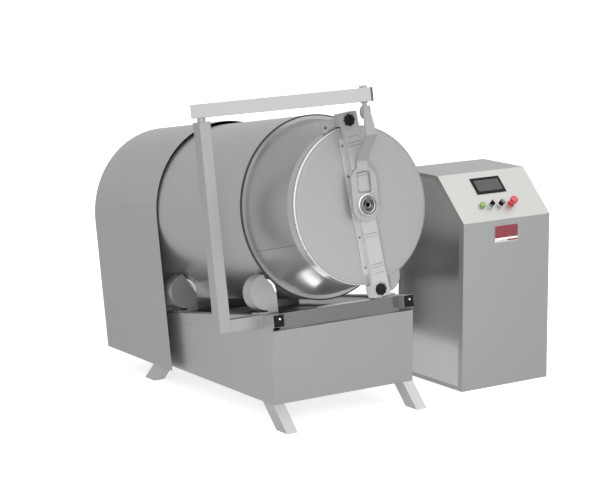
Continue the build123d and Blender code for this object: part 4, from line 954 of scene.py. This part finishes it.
class TUMBLER_OT_drive(bpy.types.Operator):
    """Finish the bearing, reducer, motor, swivel and pump"""

    bl_idname = "tumbler.drive"
    bl_label = "Drive and Vacuum"

    def execute(self, context):
        dress("satin_sheet", "rear_support")
        dress("painted_casting", "rear_bearing", "gear_reducer")
        dress("grey_drive_paint", "drive_motor", "vacuum_pump")
        dress("turned_steel", "vacuum_swivel")
        return {"FINISHED"}


class TUMBLER_OT_cabinet(bpy.types.Operator):
    """Finish the cabinet and fit its bare plate"""

    bl_idname = "tumbler.cabinet"
    bl_label = "Control Cabinet"

    def execute(self, context):
        dress("satin_cabinet", "cabinet_body")
        dress("bright_cover", "cabinet_side_covers")
        dress("pale_slope", "control_panel")
        width, height, front = 0.157, 0.0885, -0.0009
        field = (width + 0.0004, 0.0012, height - 0.0225)
        line = (width * 0.47, 0.0010, 0.0095)
        strip = (width * 0.50, 0.0010, 0.0095)
        layer, low = front - 0.0008, PLATE_UP - 0.0370
        work = bmesh.new()
        slab_into(work, (width, 0.0016, height), (PLATE_ACROSS, front, PLATE_UP), 0.0006, 1, 2)
        slab_into(work, field, (PLATE_ACROSS, layer, PLATE_UP + 0.0114), 0.0003, 0, 1)
        slab_into(work, line, (PLATE_ACROSS + width * 0.266, layer, low), 0.0003, 0, 1)
        slab_into(work, strip, (PLATE_ACROSS - width * 0.240, layer, low), 0.0003, 2, 1)
        plate = finish_mesh("front_plate", work, CABINET, ["red_plate_enamel", "white_mark", "pale_strip"])
        settle(plate, "base", "satin_stainless")
        return {"FINISHED"}


class TUMBLER_OT_screen(bpy.types.Operator):
    """Build the operator screen with its bezel and glass"""

    bl_idname = "tumbler.screen"
    bl_label = "Operator Screen"

    def execute(self, context):
        low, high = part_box("touch_screen")
        half_wide = (high.x - low.x) / 2
        half_high = ((high.y - low.y) / math.cos(SLOPE_ANGLE) - 0.005) / 2
        middle_x = (low.x + high.x) / 2 - CABINET.to_translation().x
        middle_s = 0.228
        turns = ((-1, -1), (1, -1), (1, 1), (-1, 1))
        corners = [(half_wide * sx, half_high * sy) for sx, sy in turns]
        insets = [(0.0, 0.0), (0.0, 0.0038), (0.0012, 0.0049), (0.0150, 0.0049), (0.0162, 0.0040)]
        work = bmesh.new()
        rings = []
        for inset, lift in insets:
            spots = [(x - math.copysign(inset, x), y - math.copysign(inset, y)) for x, y in corners]
            rings.append([work.verts.new((middle_x + x, middle_s + y, lift)) for x, y in spots])
        for below, above in zip(rings, rings[1:]):
            for number in range(4):
                after = (number + 1) % 4
                work.faces.new((below[number], below[after], above[after], above[number]))
        work.faces.new(rings[-1]).material_index = 1
        work.faces.new(list(reversed(rings[0])))
        screen = finish_mesh("screen_bezel", work, SLOPE, ["black_moulding", "screen_glass"], smooth=False)
        settle(screen, "base", "screen", "touch_screen")
        return {"FINISHED"}


class TUMBLER_OT_switches(bpy.types.Operator):
    """Build the four switch heads and their rings"""

    bl_idname = "tumbler.switches"
    bl_label = "Switches"

    def execute(self, context):
        places = {
            "start": (0.181, 0.101), "selector": (0.238, 0.096),
            "key": (0.305, 0.096), "estop": (0.375, 0.091),
        }
        stem = [(0.0, -0.008), (0.0104, -0.008), (0.0104, 0.0056)]
        turns = 48

        def turn(work, name, profile, paint=0, segments=turns):
            """Turned form on a switch's place."""
            lathe_into(work, profile, segments, paint, Matrix.Translation((*places[name], 0)))

        def mark(work, name, size, forward, lift, round_edge, paint, segments):
            """Rounded slab on a switch's place."""
            across, up = places[name]
            slab_into(work, size, (across, up + forward, lift), round_edge, paint, segments)

        ring = [(0.0110, 0.0), (0.0165, 0.0), (0.0165, 0.0032), (0.0152, 0.0048), (0.0124, 0.0050)]
        ring += [(0.0110, 0.0046), (0.0110, 0.0)]
        narrow = [(radius * 0.97, height) for radius, height in ring[1:-2]]
        narrow += [(0.0110, 0.0046), (0.0110, 0.0), (0.0160, 0.0)]
        shroud = [(0.0110, 0.0), (0.0208, 0.0), (0.0208, 0.0030), (0.0190, 0.0049)]
        shroud += [(0.0110, 0.0049), (0.0110, 0.0)]
        work = bmesh.new()
        turn(work, "start", ring, 3)
        turn(work, "selector", narrow, 1)
        turn(work, "key", ring, 1)
        turn(work, "estop", shroud, 2)
        paints = ["black_moulding", "bright_rings", "red_cap", "green_cap"]
        settle(finish_mesh("switch_rings", work, SLOPE, paints), "base", "chrome_ring", "switch_collars")

        cap = stem + [(0.0104, 0.0094), (0.0168, 0.0094), (0.0170, 0.0128)]
        cap += arc_points(0.0112, 0.0128, 0.0056, 0, 90, 6) + [(0.0060, 0.0187), (0.0, 0.0188)]
        work = bmesh.new()
        turn(work, "start", cap)
        start = finish_mesh("start_cap", work, SLOPE, ["green_cap"])
        settle(start, "start_button", "green_plastic", "start_button")

        work = bmesh.new()
        turn(work, "selector", stem + [(0.0138, 0.0056), (0.0140, 0.0120)])
        turn(work, "selector", [(0.0140, 0.0120), (0.0146, 0.0126), (0.0146, 0.0164), (0.0138, 0.0170)], 2)
        turn(work, "selector", [(0.0138, 0.0170), (0.0130, 0.0192), (0.0, 0.0194)])
        mark(work, "selector", (0.0094, 0.0270, 0.0200), 0, 0.0280, 0.0026, 0, 3)
        mark(work, "selector", (0.0016, 0.0120, 0.0008), 0.0060, 0.0381, 0.0003, 1, 1)
        paints = ["black_moulding", "white_mark", "bright_rings"]
        selector = finish_mesh("selector_form", work, SLOPE, paints)
        settle(selector, "selector_knob", "black_plastic", "selector_knob")

        lock = stem + [(0.0148, 0.0056), (0.0150, 0.0080), (0.0134, 0.0092), (0.0132, 0.0180)]
        lock += [(0.0148, 0.0196), (0.0150, 0.0300), (0.0136, 0.0318), (0.0098, 0.0322)]
        work = bmesh.new()
        turn(work, "key", lock)
        turn(work, "key", [(0.0098, 0.0322), (0.0096, 0.0338), (0.0078, 0.0341), (0.0074, 0.0330)], 1)
        turn(work, "key", [(0.0074, 0.0330), (0.0, 0.0330)])
        mark(work, "key", (0.0020, 0.0096, 0.0052), 0, 0.0356, 0.0006, 1, 1)
        key = finish_mesh("key_lock_form", work, SLOPE, ["black_moulding", "bright_rings"])
        settle(key, "key_switch", "black_plastic", "key_switch")

        head = stem + [(0.0104, 0.0104), (0.0150, 0.0104), (0.0154, 0.0220), (0.0176, 0.0240)]
        head += [(0.0214, 0.0262), (0.0220, 0.0300), (0.0220, 0.0390)]
        head += arc_points(0.0140, 0.0430, 0.0078, 0, 90, 6) + [(0.0080, 0.0512), (0.0, 0.0513)]
        work = bmesh.new()
        turn(work, "estop", head, 0, 56)
        estop = finish_mesh("estop_form", work, SLOPE, ["red_cap"])
        settle(estop, "estop_button", "red_plastic", "estop_button")
        return {"FINISHED"}


class TUMBLER_OT_fasteners(bpy.types.Operator):
    """Set the screws, rivets and lug bolts"""

    bl_idname = "tumbler.fasteners"
    bl_label = "Fasteners"

    def execute(self, context):
        sizes = context.scene.tumbler_fittings
        group = screw_tree()

        def screws(name, points, place, turn, body, radius, height, material, slot):
            """Screws on points of a plane, which the turn brings round to face outwards."""
            socket = radius * 0.42
            thing = grown(
                name, group, point_mesh(name + "_points", [(across, up, 0) for across, up in points]),
                {
                    "Head Radius": radius, "Head Height": height, "Socket Radius": socket,
                    "Material": finish(material),
                },
                place @ turn,
            )
            settle(thing, body, slot)

        bar = [(-0.050, side * station) for side in (-1, 1) for station in SCREW_STATIONS]
        face = ON_LID @ Matrix.Translation((0, LID_FACE - 0.004, 0))
        screws(
            "bar_screws", bar, face, TO_FRONT, "lid", sizes.screw_radius, sizes.screw_height,
            "dark_fasteners", "machined_steel",
        )
        face = ON_LID @ Matrix.Translation((0, LUG_FACE, 0))
        screws(
            "lug_bolt", [(-0.103, 0.417)], face, TO_FRONT, "drum", 0.0085, 0.005,
            "dark_fasteners", "machined_steel",
        )
        plate = [(PLATE_ACROSS + sx * 0.0735, PLATE_UP + sy * 0.0395) for sx in (-1, 1) for sy in (-1, 1)]
        face = CABINET @ Matrix.Translation((0, -0.0016, 0))
        screws("plate_rivets", plate, face, TO_FRONT, "base", 0.0022, 0.0012, "bright_rings", "chrome_ring")
        inset, arch_steps, side_rivets, side_pitch = 0.022, 10, 4, 0.155
        reach = HOOD_HALF - inset
        rim = []
        for step in range(arch_steps + 1):
            angle = math.pi * step / arch_steps
            rim.append((reach * math.cos(angle), -(HOOD_ARCH + reach * math.sin(angle))))
        for side in (-1, 1):
            rim += [(side * reach, side_pitch * step - HOOD_ARCH) for step in range(1, side_rivets + 1)]
        face = TILTED @ Matrix.Translation((0, HOOD_REAR, 0))
        screws(
            "rear_wall_rivets", rim, face, TO_REAR, "base", sizes.rivet_radius, 0.003,
            "dark_fasteners", "machined_steel",
        )
        return {"FINISHED"}


class TUMBLER_OT_welds(bpy.types.Operator):
    """Lay the weld beads of the frame and drum"""

    bl_idname = "tumbler.welds"
    bl_label = "Weld Beads"

    def execute(self, context):
        radius = context.scene.tumbler_fittings.weld_radius
        group = bead_tree()

        def weld(name, paths, place, body, size):
            """Beads along paths; size is a share of the usual radius."""
            thing = grown(
                name, group, path_mesh(name + "_path", paths),
                {
                    "Bead Radius": radius * size, "Ripple Length": 0.0055, "Ripple Depth": 0.2,
                    "Material": finish("weld_metal"),
                },
                place, sharp=80.0,
            )
            settle(thing, body, "satin_stainless")

        post_right, front, back = -0.6235, 0.113, 0.177
        foot = [(post_right, front, -0.0005), (post_right, back, -0.0005)]
        end = [(front, -TUBE), (front, 0.0), (back, 0.0), (back, -TUBE), (front, -TUBE)]
        weld("post_welds", [foot, [(-RAIL_OUT, y, z) for y, z in end]], TILTED, "base", 0.9)
        weld("neck_weld", [circle_path(0.3984, -0.1678, 120)], ON_AXIS, "drum", 0.8)
        return {"FINISHED"}


class TUMBLER_OT_stage(bpy.types.Operator):
    """Set the floor, the lamps, the surround and the camera"""

    bl_idname = "tumbler.stage"
    bl_label = "Studio"

    def execute(self, context):
        context.scene.view_settings.view_transform = "Standard"
        studio = context.scene.tumbler_studio
        self.floor(studio)
        self.surround(context.scene, studio)
        self.lamps(studio)
        self.camera(context.scene)
        return {"FINISHED"}

    def floor(self, studio):
        """Pale matt floor that the camera and the metal see as an even light tone."""
        work = bmesh.new()
        bmesh.ops.create_grid(work, x_segments=1, y_segments=1, size=FLOOR_HALF)
        data = bpy.data.meshes.new("floor")
        work.to_mesh(data)
        work.free()
        material, tree = new_material("pale_floor")
        path, seen = tree.rays()
        matt = tree.add("ShaderNodeBsdfDiffuse", {"Color": FLOOR_GREY})
        strength = tree.maths("MULTIPLY", seen, FLOOR_GLOW)
        glow = tree.add("ShaderNodeEmission", {"Color": WHITE, "Strength": strength})
        both = tree.add("ShaderNodeAddShader", {0: matt, 1: glow})
        even = tree.add("ShaderNodeEmission", {"Color": WHITE, "Strength": studio.mirrored_floor})
        mixed = tree.add("ShaderNodeMixShader", {"Fac": path["Is Glossy Ray"], 1: both, 2: even})
        tree.node("ShaderNodeOutputMaterial", {"Surface": mixed})
        data.materials.append(material)
        link("floor", data)

    def surround(self, scene, studio):
        """White backdrop, and a soft light that is brighter above the front and behind the viewer."""
        world = bpy.data.worlds.new("studio")
        scene.world = world
        world.use_nodes = True
        tree = Tree(world.node_tree)
        tree.nodes.clear()
        direction = tree.node("ShaderNodeTexCoord").outputs["Generated"]
        _, y, z = tree.split(direction)
        forward = tree.maths("SUBTRACT", 0.5, y, clamp=True)
        above = tree.maths("MULTIPLY", tree.maths("MAXIMUM", z, 0.0), forward)
        viewer = (-0.55, -0.81, 0.19)
        toward = tree.node("ShaderNodeVectorMath", {0: direction, 1: viewer}, operation="DOT_PRODUCT")
        behind = tree.maths("MAXIMUM", toward.outputs["Value"], 0.0)
        behind = tree.maths("MULTIPLY", behind, behind)
        level = tree.maths("MULTIPLY_ADD", above, studio.zenith, studio.surround)
        level = tree.maths("MULTIPLY_ADD", behind, studio.front, level)
        around = tree.add("ShaderNodeBackground", {"Color": WHITE, "Strength": level})
        backdrop = tree.add("ShaderNodeBackground", {"Color": WHITE})
        mixed = tree.add("ShaderNodeMixShader", {"Fac": tree.rays()[1], 1: around, 2: backdrop})
        tree.node("ShaderNodeOutputWorld", {"Surface": mixed})

    def lamps(self, studio):
        """Soft lamps, none of them seen by the camera."""
        def lamp(name, power, size, place, spread=math.pi, mirrored=True):
            data = bpy.data.lights.new(name, "AREA")
            data.shape = "RECTANGLE"
            data.size, data.size_y = size
            data.energy = power
            data.spread = spread
            thing = link(name, data)
            thing.visible_glossy = mirrored
            thing.visible_camera = False
            thing.matrix_world = place

        def aimed(position, target):
            spot = ZERO + Vector(position)
            turn = (ZERO + Vector(target) - spot).to_track_quat("-Z", "Y")
            return Matrix.Translation(spot) @ turn.to_matrix().to_4x4()

        lamp("key", studio.key, (3.0, 3.0), aimed((3.2, -5.5, 3.6), (0.2, 0.3, 0.7)))
        low = aimed((-2.4, -2.6, 0.35), (-0.15, 0.0, 0.62))
        lamp("low_fill", studio.low_fill, (1.2, 1.2), low, math.radians(40), False)
        lamp("overhead", studio.overhead, (3.2, 3.2), aimed((0.3, -0.6, 4.6), (0.3, 0.4, 0.5)))
        lamp("neck_glow", studio.neck_glow, (0.17, 0.05), aimed((-0.225, 0.07, 0.598), (-0.23, 0.0, 0.82)))
        rail = TILTED @ Matrix.Translation((0.352, 0.66, -TUBE / 2)) @ Matrix.Rotation(-math.pi / 2, 4, "Y")
        lamp("under_drum", studio.under_drum, (0.04, 0.66), rail, math.radians(50))

    def camera(self, scene):
        """Camera at the photograph's place."""
        data = bpy.data.cameras.new("photo_camera")
        data.sensor_width = 36.0
        data.sensor_fit = "HORIZONTAL"
        data.lens = CAMERA_LENS
        data.clip_end = 60
        camera = link("photo_camera", data)
        back = Vector((
            math.sin(CAMERA_AZIMUTH) * math.cos(CAMERA_ELEVATION),
            -math.cos(CAMERA_AZIMUTH) * math.cos(CAMERA_ELEVATION),
            math.sin(CAMERA_ELEVATION),
        ))
        spot = ZERO + CAMERA_TARGET + back * CAMERA_DISTANCE
        turn = back.to_track_quat("Z", "Y").to_matrix().to_4x4()
        camera.matrix_world = Matrix.Translation(spot) @ turn @ Matrix.Rotation(CAMERA_ROLL, 4, "Z")
        scene.camera = camera


STEPS = (
    TUMBLER_OT_stage, TUMBLER_OT_materials, TUMBLER_OT_base, TUMBLER_OT_drum, TUMBLER_OT_lid,
    TUMBLER_OT_knobs, TUMBLER_OT_davit, TUMBLER_OT_rollers, TUMBLER_OT_hood, TUMBLER_OT_drive,
    TUMBLER_OT_cabinet, TUMBLER_OT_screen, TUMBLER_OT_switches, TUMBLER_OT_fasteners, TUMBLER_OT_welds,
)


class TUMBLER_PT_panel(bpy.types.Panel):
    """Sizes, finishes and steps of the tumbler"""

    bl_idname = "TUMBLER_PT_panel"
    bl_label = "Vacuum Tumbler"
    bl_space_type = "VIEW_3D"
    bl_region_type = "UI"
    bl_category = "Tumbler"

    def draw(self, context):
        scene = context.scene
        for group in (scene.tumbler_finishes, scene.tumbler_fittings, scene.tumbler_studio):
            box = self.layout.box()
            for name in group.__annotations__:
                box.prop(group, name)
        for step in STEPS:
            self.layout.operator(step.bl_idname)


CLASSES = (TumblerFinishes, TumblerFittings, TumblerStudio, *STEPS, TUMBLER_PT_panel)


def register():
    """Registers the groups, the steps and the panel."""
    for kind in CLASSES:
        bpy.utils.register_class(kind)
    bpy.types.Scene.tumbler_finishes = PointerProperty(type=TumblerFinishes)
    bpy.types.Scene.tumbler_fittings = PointerProperty(type=TumblerFittings)
    bpy.types.Scene.tumbler_studio = PointerProperty(type=TumblerStudio)


def unregister():
    """Takes everything out again."""
    del bpy.types.Scene.tumbler_finishes
    del bpy.types.Scene.tumbler_fittings
    del bpy.types.Scene.tumbler_studio
    for kind in reversed(CLASSES):
        bpy.utils.unregister_class(kind)


def main():
    """Runs every step in order."""
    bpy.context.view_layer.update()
    register()
    for step in STEPS:
        group, name = step.bl_idname.split(".")
        getattr(getattr(bpy.ops, group), name)()


if __name__ == "__main__":
    main()
